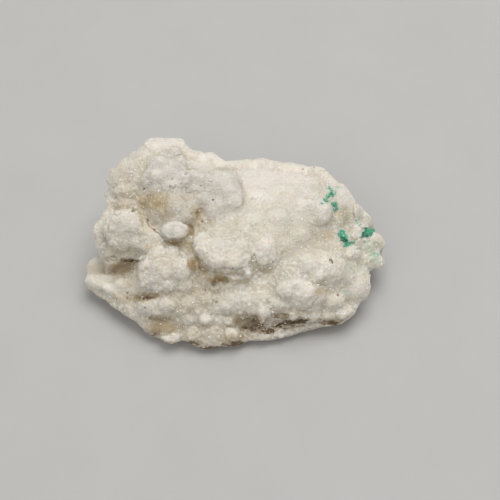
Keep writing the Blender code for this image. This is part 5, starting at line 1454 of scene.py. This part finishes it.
def tuft_mesh(name, clusters, side, seed):
    """A patch of tiny green crystals that grow out of the skin."""
    rng = np.random.default_rng(seed)
    heap = Heap()
    shape = spindle(5, 0.5)
    shades = []
    for u, v, across, down, count, length, pale in clusters:
        at, along = [], []
        for _ in range(count):
            angle, far = rng.uniform(0, math.tau), math.sqrt(rng.random())
            place, normal = side.hit(u + across * far * math.cos(angle), v + down * far * math.sin(angle))
            if place is None:
                continue
            middle, _ = side.hit(u, v)
            away = place - middle if middle is not None else Vector()
            at.append(place)
            along.append((normal + away * 600).normalized())
        long = length * 0.001
        place_spindles(heap, shape, at, along, rng, (0.00008, 0.00017), (long * 0.35, long * 0.65), 0.35, 0.3)
        shades += [pale] * (len(at) * len(shape[0]))
    mesh = heap.mesh(name)
    write_colour(mesh, "shade", (np.array(shades[:len(mesh.vertices)]),) * 3)
    return mesh


# ---- The pieces -----------------------------------------------------------------------------


def put(name, mesh, mat, smooth):
    mesh.name = name
    mesh.materials.clear()
    mesh.materials.append(mat)
    if smooth:
        mesh.shade_smooth()
    else:
        mesh.shade_flat()
    piece = bpy.data.objects.new(name, mesh)
    bpy.context.scene.collection.objects.link(piece)
    return piece


skin = skin_mesh()
side = Side(skin)
paint(skin, side)
body = put("aragonite_body", skin, aragonite_material(), True)
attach(body, "root")
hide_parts("aragonite_mass")

druse = put("crystal_skin", druse_mesh(skin, side), crystal_material(), False)
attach(druse, "root")

green = green_material()
for number, (node, clusters) in enumerate(GREEN_TUFTS):
    tuft = put(node.replace("crust", "tuft"), tuft_mesh(node, clusters, side, 60 + number), green, False)
    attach(tuft, "root")
    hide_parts(node)


# ---- Floor, light and camera ----------------------------------------------------------------


def area_light(name, place, size, power, colour=(1, 1, 1), aim=(0, 0, 0.012)):
    light = bpy.data.lights.new(name, "AREA")
    light.shape = "DISK"
    light.size = size
    light.energy = power
    light.color = colour
    lamp = bpy.data.objects.new(name, light)
    lamp.location = place
    lamp.rotation_mode = "QUATERNION"
    lamp.rotation_quaternion = (Vector(aim) - Vector(place)).to_track_quat("-Z", "Y")
    bpy.context.scene.collection.objects.link(lamp)


bm = bmesh.new()
bmesh.ops.create_grid(bm, x_segments=1, y_segments=1, size=3.0)
ground = bpy.data.meshes.new("floor")
bm.to_mesh(ground)
bm.free()
ground.materials.append(floor_material())
floor = bpy.data.objects.new("floor", ground)
floor.location.z = -0.00005
bpy.context.scene.collection.objects.link(floor)

area_light("key", KEY_LIGHT, 0.7, 4.45, (1.0, 0.975, 0.94))
area_light("fill", (-0.35, -0.45, 0.65), 0.8, 1.2, (1.0, 0.98, 0.95))

world = bpy.data.worlds.new("studio")
bpy.context.scene.world = world
world.use_nodes = True
world.node_tree.nodes["Background"].inputs["Color"].default_value = (1.0, 0.985, 0.965, 1)
world.node_tree.nodes["Background"].inputs["Strength"].default_value = 0.36

lens = bpy.data.cameras.new("camera")
lens.sensor_width = 36
lens.lens = 36 * FOCAL / 500
lens.clip_start, lens.clip_end = 0.01, 20
camera = bpy.data.objects.new("camera", lens)
camera.location = EYE
camera.rotation_mode = "QUATERNION"
camera.rotation_quaternion = FORWARD.to_track_quat("-Z", "Y")
bpy.context.scene.collection.objects.link(camera)
bpy.context.scene.camera = camera
bpy.context.scene.view_settings.view_transform = "Standard"
